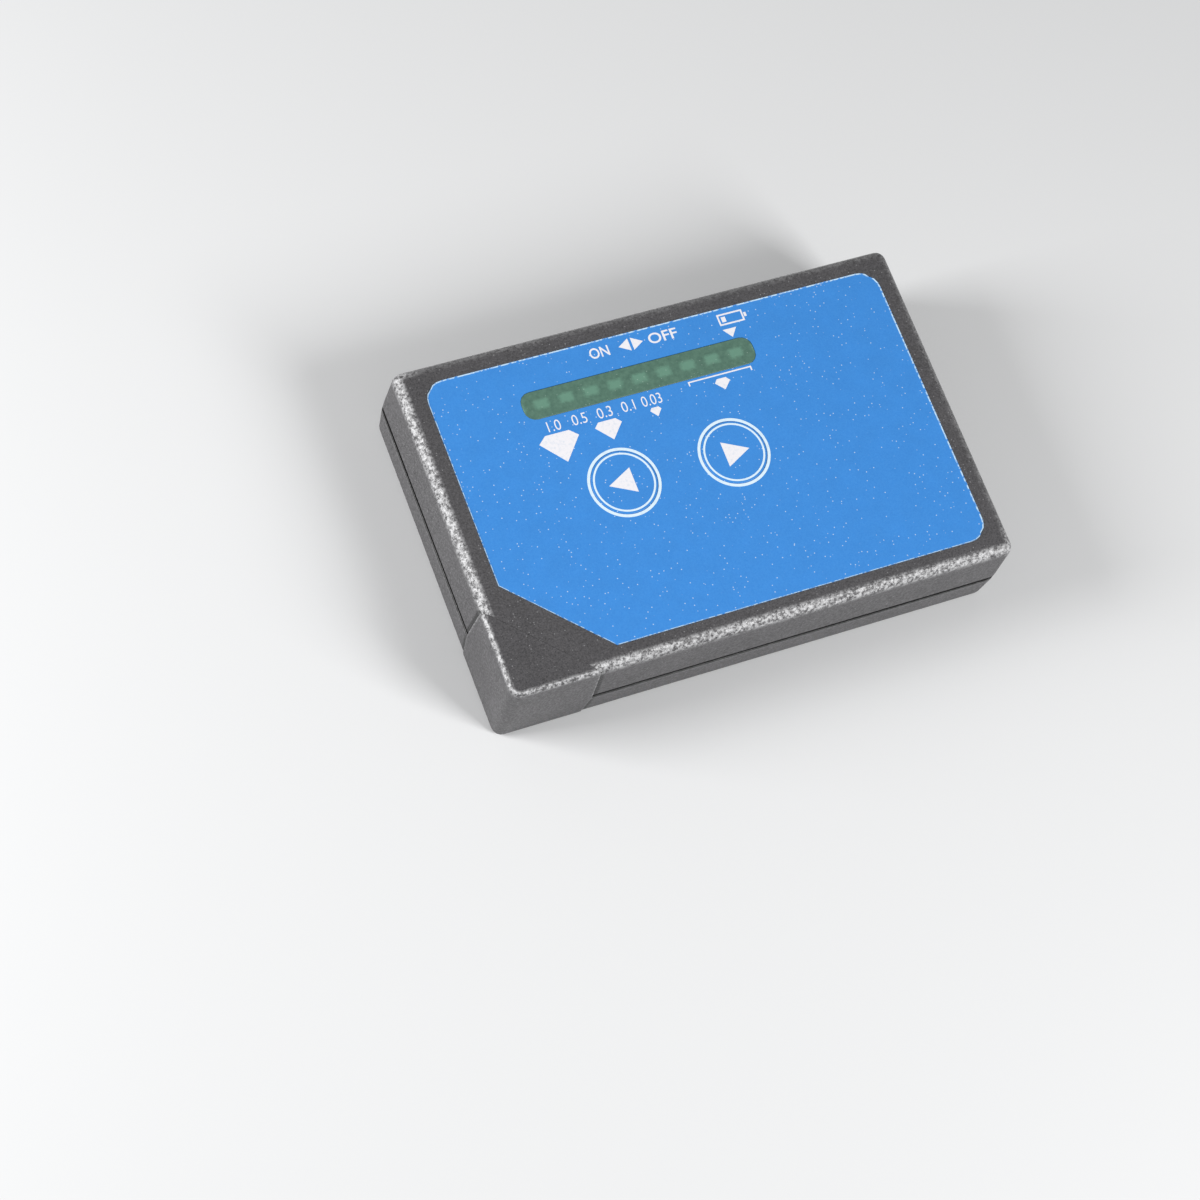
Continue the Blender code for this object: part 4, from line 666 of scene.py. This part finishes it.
class TesterStageSettings(bpy.types.PropertyGroup):
    """Camera, lamps and floor."""

    camera_place: FloatVectorProperty(
        name="Camera place",
        description="Where the camera stands",
        subtype="TRANSLATION",
        unit="LENGTH",
        default=(-0.17846, -0.16362, 0.47282),
    )
    camera_turn: FloatVectorProperty(
        name="Camera turn",
        description="How the camera is turned",
        subtype="EULER",
        unit="ROTATION",
        default=(0.390012, -0.195021, -0.366053),
    )
    lens: FloatProperty(
        name="Lens", description="Focal length", subtype="DISTANCE_CAMERA", unit="CAMERA", default=90.0
    )
    floor_colour: colour_setting("Floor", "Colour of the floor", (0.76, 0.765, 0.77))
    world_level: FloatProperty(name="Room light", description="Light from all round", min=0.0, default=0.26)
    key_power: power_setting("Key lamp", "Power of the lamp at the near right", 3.0)
    side_power: power_setting("Side lamp", "Power of the lamp at the far left", 3.0)


# Pieces


def on_seam(point):
    """Whether a point lies by the plane between the corner cap and the case."""
    return abs(point.x + point.y - SEAM_SUM) < SEAM_REACH


def outside(point):
    """Whether a point lies by the case's outer sides, and not on its inner walls."""
    return min(HALF_LENGTH - abs(point.x), HALF_WIDTH - abs(point.y)) < SIDE_REACH


def side_seam(*ends):
    """Whether points lie on the outside of the cap's seam, below the top."""
    return all(on_seam(end) and outside(end) for end in ends) and not at_height(ends, CASE_TOP)


def level_test(height, *places):
    """A test for points that lie at a height and pass the test of each place."""

    def passes(*points):
        return at_height(points, height) and all(place(point) for place in places for point in points)

    return passes


class TESTER_OT_case(bpy.types.Operator):
    """Build the two shells, the corner cap, the battery cover and the thumb slider"""

    bl_idname = "tester.case"
    bl_label = "Case"

    def execute(self, context):
        settings = context.scene.tester_case
        plastic = spark_plastic("spark_plastic", settings, CAP_ROUNDING)
        shell_plastic = spark_plastic("shell_plastic", settings, SHELL_ROUNDING, jointed=True)
        opening = settings.parting_opening
        closing = settings.seam_closing / math.sqrt(2)
        groove = settings.parting_width
        small = settings.edge_width
        rim = (level_test(CASE_TOP), settings.tight_width)
        upper_joint = (level_test(JOINT_HIGH + opening, outside), groove)
        lower_joint = (level_test(JOINT_LOW - opening, outside), groove)
        shell_seam = (side_seam, 2 * groove)
        shifts = {
            "upper_shell": (level_test(JOINT_HIGH, outside), (0, 0, opening)),
            "lower_shell": (level_test(JOINT_LOW, outside), (0, 0, -opening)),
            "corner_cap": (level_test(CASE_TOP, on_seam), (closing, closing, 0)),
        }
        jobs = {
            "upper_shell": (upper_joint, shell_seam, rim),
            "lower_shell": (lower_joint, shell_seam),
            "corner_cap": ((side_seam, small), rim),
            "battery_cover": ((everywhere, small),),
            "power_slider": ((everywhere, small),),
        }
        for node, roundings in jobs.items():
            shape = merged_copy(node)
            if node in shifts:
                chosen, vec = shifts[node]
                moved = [vertex for vertex in shape.verts if chosen(vertex.co)]
                bmesh.ops.translate(shape, vec=vec, verts=moved)
            for chosen, width in roundings:
                soften(shape, width, chosen)
            finish = shell_plastic if node.endswith("shell") else plastic
            stand_in(node, node + "_moulding", shape, [finish], even=True)
        return {"FINISHED"}


class TESTER_OT_label(bpy.types.Operator):
    """Build the face label with its pale cut edge, and the tinted window"""

    bl_idname = "tester.label"
    bl_label = "Label and window"

    def execute(self, context):
        settings = context.scene.tester_face
        shape = merged_copy("face_label")
        self.grow(shape, LABEL_LOW, LABEL_HIGH, settings.gap_cover, self.by_outline)
        tops = [
            face
            for face in shape.faces
            if face.normal.z > UPRIGHT and face.calc_center_median().z > LABEL_MIDDLE.z
        ]
        made = bmesh.ops.inset_region(
            shape, faces=tops, thickness=settings.rim_width, use_boundary=True, use_even_offset=True
        )
        for face in made["faces"]:
            if self.by_outline(face.calc_center_median()):
                face.material_index = 1
        shape.normal_update()
        turned_up = [
            vertex
            for vertex in shape.verts
            if self.by_outline(vertex.co)
            and at_height([vertex.co], LABEL_HIGH.z)
            and any(abs(face.normal.z) < STEEP for face in vertex.link_faces)
        ]
        bmesh.ops.translate(shape, vec=(0, 0, settings.rim_rise), verts=turned_up)
        finishes = [satin_film("label_film", settings), cut_edge(settings)]
        stand_in("face_label", "label_sheet", shape, finishes, even=True)

        shape = merged_copy("display_window")
        self.grow(shape, WINDOW_LOW, WINDOW_HIGH, settings.gap_cover, everywhere)
        soften(shape, settings.window_rounding, level_test(WINDOW_HIGH.z), segments=3)
        finishes = [tinted_window(settings)]
        stand_in("display_window", "window_sheet", shape, finishes, even=True)
        return {"FINISHED"}

    def by_outline(self, point):
        """Whether a point lies by the label's outline, with its cut corner."""
        low = point - LABEL_LOW
        high = LABEL_HIGH - point
        return min(low.x, high.x, low.y, high.y, low.x + low.y - LABEL_CUT) < OUTLINE_REACH

    def grow(self, shape, low, high, reach, chosen):
        """Widen the chosen points of a flat sheet about its middle, so that it covers the gap round it."""
        middle = (low + high) / 2
        share = [1 + 2 * reach / (high[axis] - low[axis]) for axis in (0, 1)]
        bmesh.ops.scale(
            shape,
            vec=(*share, 1.0),
            space=Matrix.Translation(-middle),
            verts=[vertex for vertex in shape.verts if chosen(vertex.co)],
        )


def ink_levels(top, settings):
    """Lowest and highest height of a print on a surface."""
    return top - INK_ROOT, top + settings.ink_height


# Marks on the label, in millimetres
# A text has its middle, its width and half of its height. A flat mark has outlines.
SWITCH_WORDS = (("ON", -10.6, 24.7, 3.6, 1.0), ("OFF", 1.4, 24.7, 5.4, 1.0))
SCALE_NUMBERS = (
    ("1.0", -23.2, 13.75, 2.4, 0.98),
    ("0.5", -18.5, 13.75, 2.7, 0.98),
    ("0.3", -13.8, 13.75, 2.7, 0.98),
    ("0.1", -9.4, 13.75, 2.4, 0.98),
    ("0.03", -5.0, 13.75, 3.7, 0.98),
)
WORD_WEIGHT = 0.012
NUMBER_WEIGHT = -0.005
FLAT_MARKS = {
    "switch_arrows": (
        ((-6.95, 24.7), (-4.9, 23.5), (-4.9, 25.9)),
        ((-4.4, 23.5), (-2.35, 24.7), (-4.4, 25.9)),
    ),
    "gem_marks": (
        ((-26.9, 11.0), (-23.2, 6.75), (-19.6, 11.0), (-21.0, 12.3), (-25.4, 12.3)),
        ((-16.5, 11.3), (-14.0, 8.5), (-11.5, 11.3), (-12.4, 12.2), (-15.6, 12.2)),
        ((-6.0, 11.75), (-4.95, 10.5), (-3.9, 11.75), (-4.3, 12.25), (-5.6, 12.25)),
    ),
    "low_cell_mark": (
        ((12.2, 22.9), (13.5, 21.2), (14.8, 22.9)),
        ((12.1, 23.7), (16.9, 23.7), (16.9, 24.0), (12.1, 24.0)),
        ((12.1, 25.6), (16.9, 25.6), (16.9, 25.9), (12.1, 25.9)),
        ((12.1, 24.0), (12.4, 24.0), (12.4, 25.6), (12.1, 25.6)),
        ((16.6, 24.0), (16.9, 24.0), (16.9, 25.6), (16.6, 25.6)),
        ((17.05, 24.4), (17.5, 24.4), (17.5, 25.2), (17.05, 25.2)),
        ((12.75, 24.3), (13.55, 24.3), (13.55, 25.3), (12.75, 25.3)),
    ),
    "last_lamps_mark": (
        ((2.4, 14.9), (14.5, 14.9), (14.5, 15.15), (2.4, 15.15)),
        ((2.4, 14.3), (2.65, 14.3), (2.65, 14.9), (2.4, 14.9)),
        ((14.25, 14.3), (14.5, 14.3), (14.5, 14.9), (14.25, 14.9)),
        ((7.0, 13.6), (8.45, 12.1), (9.9, 13.6), (9.3, 14.3), (7.6, 14.3)),
    ),
}


class TESTER_OT_print(bpy.types.Operator):
    """Build the white marks on the label: switch legend, scale numbers, gem shapes and pictograms"""

    bl_idname = "tester.print"
    bl_label = "Label print"

    def execute(self, context):
        settings = context.scene.tester_face
        ink = white_ink("white_ink", settings.ink_colour)
        levels = ink_levels(LABEL_HIGH.z, settings)
        words = lettering(SWITCH_WORDS, *levels, WORD_WEIGHT)
        add_piece("switch_words", words, [ink], "case")
        numbers = lettering(SCALE_NUMBERS, *levels, NUMBER_WEIGHT)
        add_piece("scale_numbers", numbers, [ink], "case")
        for name, outlines in FLAT_MARKS.items():
            add_piece(name, flat_plate(outlines, *levels), [ink], "case")
        return {"FINISHED"}


FLANGE_WIDTH = 0.85 * MM
FLANGE_THICKNESS = 0.7 * MM
BUTTON_DIP = 0.04 * MM
BUTTON_ROUNDING = 0.16 * MM
INNER_RING = (5.13 * MM, 5.47 * MM)
OUTER_RING = (5.93 * MM, 6.45 * MM)
BUTTON_ARROWS = {
    "left": ((-2.85, 0.0), (1.75, -2.35), (1.75, 2.35)),
    "right": ((-1.75, 2.35), (-1.75, -2.35), (2.85, 0.0)),
}


class TESTER_OT_buttons(bpy.types.Operator):
    """Build the two push buttons with their rings and arrows, and the rings on the label round them"""

    bl_idname = "tester.buttons"
    bl_label = "Buttons"

    def execute(self, context):
        settings = context.scene.tester_face
        film = satin_film("button_film", settings)
        ink = white_ink("button_ink", settings.ink_colour)
        ring_ink = white_ink("ring_ink", settings.ring_colour)
        steps = settings.round_steps
        for side, arrow in BUTTON_ARROWS.items():
            node = side + "_button"
            low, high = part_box(node)
            middle = (low + high) / 2
            flange = (high.x - low.x) / 2
            radius = flange - FLANGE_WIDTH + settings.button_grow
            top = high.z - BUTTON_DIP
            shoulder = low.z + FLANGE_THICKNESS
            profile = (
                (0, low.z), (flange, low.z), (flange, shoulder),
                (radius, shoulder), (radius, top), (0, top),
            )
            shape = turned(profile, steps)
            bmesh.ops.translate(shape, vec=(middle.x, middle.y, 0), verts=shape.verts)
            soften(shape, BUTTON_ROUNDING, level_test(top), segments=3)
            stand_in(node, side + "_button_moulding", shape, [film], even=True)

            body = body_of(node)
            levels = ink_levels(top, settings)
            ring = ring_plate(middle, *INNER_RING, *levels, steps)
            add_piece(side + "_button_ring", ring, [ring_ink], body)
            plate = flat_plate([arrow], *levels, middle)
            add_piece(side + "_button_arrow", plate, [ink], body)
            ring = ring_plate(middle, *OUTER_RING, *ink_levels(LABEL_HIGH.z, settings), steps)
            add_piece(side + "_label_ring", ring, [ring_ink], "case")
        return {"FINISHED"}


PROBE_TURN = Matrix(((1, 0, -1), (-1, 0, -1), (0, 1, 0))).normalized()
PROBE_PLACE = Matrix.Translation((-39.0 * MM, -22.5 * MM, CASE_TOP / 2)) @ PROBE_TURN.to_4x4()
PROBE_STEPS = 48
COLLAR_LENGTH = 1.5 * MM
COIL_RADIUS = 1.55 * MM
COIL_WIRE = 0.2 * MM
COIL_INSET = 1.1 * COIL_WIRE


def along_probe(node):
    """Lowest and highest depth of a node along the probe's axis."""
    back = PROBE_PLACE.inverted()
    depths = [(back @ vertex.co).z for vertex in NODES[node].data.vertices]
    return min(depths), max(depths)


class TESTER_OT_probe(bpy.types.Operator):
    """Build the probe: barrel, nose, tip, carrier, spring and plug, in their block"""

    bl_idname = "tester.probe"
    bl_label = "Probe"

    def execute(self, context):
        steel = plated_metal("probe_steel", (0.62, 0.62, 0.64), 0.26)
        brass = plated_metal("turned_brass", (0.74, 0.55, 0.27), 0.22)
        copper = plated_metal("probe_copper", (0.82, 0.44, 0.3), 0.2)
        ceramic = moulded_plastic("white_insulator", (0.82, 0.8, 0.75), 0.42)
        grey = moulded_plastic("inner_moulding", (0.46, 0.46, 0.45), 0.5)
        dress(ceramic, "probe_carrier")
        dress(grey, "probe_plug")

        shape = merged_copy("probe_housing")
        soften(shape, SHEET_ROUNDING, everywhere)
        stand_in("probe_housing", "probe_block", shape, [grey], even=True)

        rear, front = along_probe("probe_barrel")
        barrel = (
            (0, 2.3, rear, 0), (0, 3.0, rear, 0), (0, 3.0, front, -0.12), (0, 2.88, front, 0),
            (0, 2.3, front, 0),
        )
        self.turn("probe_barrel", barrel, steel, "steel", closed=True)

        rear, front = along_probe("probe_nose")
        collar = rear + COLLAR_LENGTH
        nose = (
            (0, 0.9, rear, 0), (0, 2.0, rear, 0), (0, 2.0, collar, 0), (0, 3.0, collar, 0),
            (0, 3.0, collar, 0.2), (0, 2.86, collar, 0.27), (0, 3.0, collar, 0.34), (0, 3.0, collar, 0.5),
            (0, 2.55, collar, 1.05), (0, 2.1, collar, 1.7), (0, 1.72, front, -0.1), (0, 1.6, front, 0),
            (0, 0.9, front, 0),
        )
        self.turn("probe_nose", nose, brass, "brass", closed=True)

        rear, front = along_probe("probe_tip")
        tip = (
            (0, 0, rear, 0), (0, 0.6, rear, 0), (0, 0.6, front, -0.72), (0, 0.5, front, -0.5),
            (0, 0.2, front, -0.05), (0, 0.12, front, 0), (0, 0, front, 0),
        )
        self.turn("probe_tip", tip, copper, "copper")

        rear, front = along_probe("probe_spring")
        length = front - rear - 2 * COIL_INSET
        coil = helix(COIL_RADIUS, COIL_WIRE, length, turns=6, steps_per_turn=28, sides=8)
        bmesh.ops.translate(coil, vec=(0, 0, rear + COIL_INSET), verts=coil.verts)
        bmesh.ops.transform(coil, matrix=PROBE_PLACE, verts=coil.verts)
        piece = stand_in("probe_spring", "probe_coil", coil, [steel])
        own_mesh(piece)
        return {"FINISHED"}

    def turn(self, node, rows, material, slot, closed=False):
        """Turn a profile on the probe's axis, to stand for a node."""
        shape = turned(profile_of(rows), PROBE_STEPS, closed)
        bmesh.ops.transform(shape, matrix=PROBE_PLACE, verts=shape.verts)
        bmesh.ops.recalc_face_normals(shape, faces=shape.faces)
        stand_in(node, node + "_turning", shape, [material])


CELL_STEPS = 64
NUB_HEIGHT = 1.0 * MM
JACKET_EDGE = 0.2 * MM
SPRING_RADIUS = 2.6 * MM
SPRING_WIRE = 0.3 * MM
SPRING_INSET = 1.2 * SPRING_WIRE


def lay(shape, middle, way, length):
    """Lay a shape that stands on Z, from zero up to a length, along Y about its middle."""
    turn = Matrix.Rotation(-way * math.pi / 2, 4, "X")
    place = Matrix.Translation(middle) @ turn @ Matrix.Translation((0, 0, -length / 2))
    bmesh.ops.transform(shape, matrix=place, verts=shape.verts)


class TESTER_OT_cells(bpy.types.Operator):
    """Build the two cells with their crimped ends, their springs and the contact plates"""

    bl_idname = "tester.cells"
    bl_label = "Cells and contacts"

    def execute(self, context):
        jacket = cell_jacket("cell_jacket")
        can = plated_metal("cell_can", (0.66, 0.66, 0.67), 0.28)
        plate = plated_metal("contact_plate", (0.64, 0.63, 0.6), 0.3, (1.0, 1.0, 0.15))
        wire = plated_metal("spring_wire", (0.6, 0.6, 0.62), 0.25)
        for number, way in ((1, 1), (2, -1)):
            node = f"battery_{number}"
            low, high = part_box(node)
            middle = (low + high) / 2
            radius = (high.x - low.x) / 2
            length = high.y - low.y
            rim = length - NUB_HEIGHT
            rows = (
                (0, 0, 0, 0.12), (radius, -1.35, 0, 0.12), (radius, -1.1, 0, 0), (radius, -0.45, 0, 0),
                (radius, -0.12, 0, 0.12), (radius, 0, 0, 0.45), (radius, 0, rim, -0.45),
                (radius, -0.12, rim, -0.12), (radius, -0.45, rim, 0), (radius, -0.9, rim, 0),
                (radius, -1.1, rim, -0.15), (0, 2.05, rim, -0.15), (0, 1.9, rim, 0),
                (0, 1.9, length, -0.15), (0, 1.75, length, 0), (0, 0, length, 0),
            )
            shape = turned(profile_of(rows), CELL_STEPS)
            for face in shape.faces:
                if face.calc_center_median().xy.length < radius - JACKET_EDGE:
                    face.material_index = 1
            lay(shape, middle, way, length)
            stand_in(node, f"cell_{number}", shape, [jacket, can])

            node = f"battery_spring_{number}"
            low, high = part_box(node)
            length = high.y - low.y - 2 * SPRING_INSET
            coil = helix(SPRING_RADIUS, SPRING_WIRE, length, turns=4, steps_per_turn=32, sides=10)
            lay(coil, (middle.x, (low.y + high.y) / 2, middle.z), way, length)
            stand_in(node, f"cell_coil_{number}", coil, [wire])
        for node in ("bridge_plate", "positive_plate", "negative_plate"):
            shape = merged_copy(node)
            soften(shape, SHEET_ROUNDING, everywhere)
            stand_in(node, node + "_sheet", shape, [plate], even=True)
        return {"FINISHED"}


class TESTER_OT_inside(bpy.types.Operator):
    """Finish the board, its parts, the lamps, the leads and the screws"""

    bl_idname = "tester.inside"
    bl_label = "Inside parts"

    def execute(self, context):
        lamp_colour = context.scene.tester_face.lamp_colour
        dress(solder_mask("board_lacquer", (0.035, 0.17, 0.075)), "circuit_board")
        dress(
            moulded_plastic("component_body", (0.022, 0.022, 0.024), 0.38, 2600.0),
            "lamp_holder", "probe_heater", "left_switch", "right_switch", "left_switch_stem",
            "right_switch_stem", "control_chip", "amplifier_chip", "buzzer",
        )
        lamps = [f"lamp_{number + 1}" for number in range(LAMP_COUNT)]
        dress(moulded_plastic("lamp_lens", lamp_colour, 0.3, 900.0), *lamps)
        dress(cell_jacket("capacitor_sleeve"), "capacitor")
        dress(moulded_plastic("trimmer_blue", (0.03, 0.12, 0.5), 0.3), "trimmer_body")
        dress(moulded_plastic("trimmer_white", (0.8, 0.78, 0.74), 0.4), "trimmer_screw")
        dress(plated_metal("switch_can", (0.6, 0.6, 0.62), 0.3, (0.2, 1.0, 1.0)), "power_switch")
        dress(moulded_plastic("lever_grey", (0.5, 0.5, 0.48), 0.5), "power_lever")
        red = moulded_plastic("red_insulation", (0.55, 0.03, 0.03), 0.42, 1200.0)
        dress(red, "probe_lead_1", "battery_lead_red")
        black = moulded_plastic("black_insulation", (0.025, 0.025, 0.027), 0.42, 1200.0)
        dress(black, "probe_lead_2", "battery_lead_black")
        screws = [f"case_screw_{number}" for number in range(1, 5)] + ["board_screw_1", "board_screw_2"]
        dress(plated_metal("screw_plating", (0.6, 0.6, 0.62), 0.28), *screws)
        return {"FINISHED"}


FLOOR_HALF = 3.0
LAMPS = {
    "key_lamp": ((0.27, -0.42, 0.4), (0.22, 0.34)),
    "side_lamp": ((-0.5, 0.12, 0.27), (0.22, 0.3)),
}
CLIP_RANGE = (0.01, 20.0)


class TESTER_OT_stage(bpy.types.Operator):
    """Build the floor, the lamps, the room light and the camera"""

    bl_idname = "tester.stage"
    bl_label = "Stage"

    def execute(self, context):
        scene = context.scene
        settings = scene.tester_stage
        scene.view_settings.view_transform = "Standard"

        shape = bmesh.new()
        bmesh.ops.create_grid(shape, x_segments=1, y_segments=1, size=FLOOR_HALF)
        mesh = bpy.data.meshes.new("floor")
        shape.to_mesh(mesh)
        shape.free()
        floor = bpy.data.objects.new("floor", mesh)
        scene.collection.objects.link(floor)
        paper = Finish("floor_paper", {"Specular IOR Level": 0.2, "Roughness": 0.85})
        dim = toned(settings.floor_colour, 0.985)
        paper.colour(paper.mix(paper.noise(6.0), dim, settings.floor_colour))
        mesh.materials.append(paper.material)

        world = bpy.data.worlds.new("room")
        world.use_nodes = True
        ground = world.node_tree.nodes["Background"]
        ground.inputs["Color"].default_value = (1.0, 1.0, 1.0, 1.0)
        ground.inputs["Strength"].default_value = settings.world_level
        scene.world = world

        self.lamp("key_lamp", settings.key_power)
        self.lamp("side_lamp", settings.side_power)

        camera_data = bpy.data.cameras.new("camera")
        camera_data.lens = settings.lens
        camera_data.clip_start, camera_data.clip_end = CLIP_RANGE
        camera = bpy.data.objects.new("camera", camera_data)
        camera.location = settings.camera_place
        camera.rotation_euler = settings.camera_turn
        scene.collection.objects.link(camera)
        scene.camera = camera
        return {"FINISHED"}

    def lamp(self, name, power):
        """Add a flat soft lamp that faces the tester."""
        place, size = LAMPS[name]
        data = bpy.data.lights.new(name, "AREA")
        data.shape = "RECTANGLE"
        data.size, data.size_y = size
        data.energy = power
        lamp = bpy.data.objects.new(name, data)
        lamp.location = place
        lamp.rotation_euler = (-Vector(place)).to_track_quat("-Z", "Y").to_euler()
        bpy.context.scene.collection.objects.link(lamp)


class TESTER_PT_panel(bpy.types.Panel):
    """Sidebar panel that lists the pieces"""

    bl_label = "Pocket tester"
    bl_idname = "TESTER_PT_panel"
    bl_space_type = "VIEW_3D"
    bl_region_type = "UI"
    bl_category = "Tester"

    def draw(self, context):
        for operator in OPERATORS:
            self.layout.operator(operator.bl_idname)
        for group in SETTINGS:
            settings = getattr(context.scene, group)
            for name in settings.__annotations__:
                self.layout.prop(settings, name)


OPERATORS = (
    TESTER_OT_case,
    TESTER_OT_label,
    TESTER_OT_print,
    TESTER_OT_buttons,
    TESTER_OT_probe,
    TESTER_OT_cells,
    TESTER_OT_inside,
    TESTER_OT_stage,
)
SETTINGS = {
    "tester_case": TesterCaseSettings,
    "tester_face": TesterFaceSettings,
    "tester_stage": TesterStageSettings,
}


def register():
    """Register the settings, the operators and the panel."""
    for name, group in SETTINGS.items():
        bpy.utils.register_class(group)
        setattr(bpy.types.Scene, name, PointerProperty(type=group))
    for operator in OPERATORS:
        bpy.utils.register_class(operator)
    bpy.utils.register_class(TESTER_PT_panel)


def unregister():
    """Take the panel, the operators and the settings off again."""
    bpy.utils.unregister_class(TESTER_PT_panel)
    for operator in reversed(OPERATORS):
        bpy.utils.unregister_class(operator)
    for name, group in SETTINGS.items():
        delattr(bpy.types.Scene, name)
        bpy.utils.unregister_class(group)


def main():
    """Build every piece in order."""
    register()
    bpy.ops.tester.case()
    bpy.ops.tester.label()
    bpy.ops.tester.print()
    bpy.ops.tester.buttons()
    bpy.ops.tester.probe()
    bpy.ops.tester.cells()
    bpy.ops.tester.inside()
    bpy.ops.tester.stage()
    bpy.context.view_layer.update()


if __name__ == "__main__":
    main()
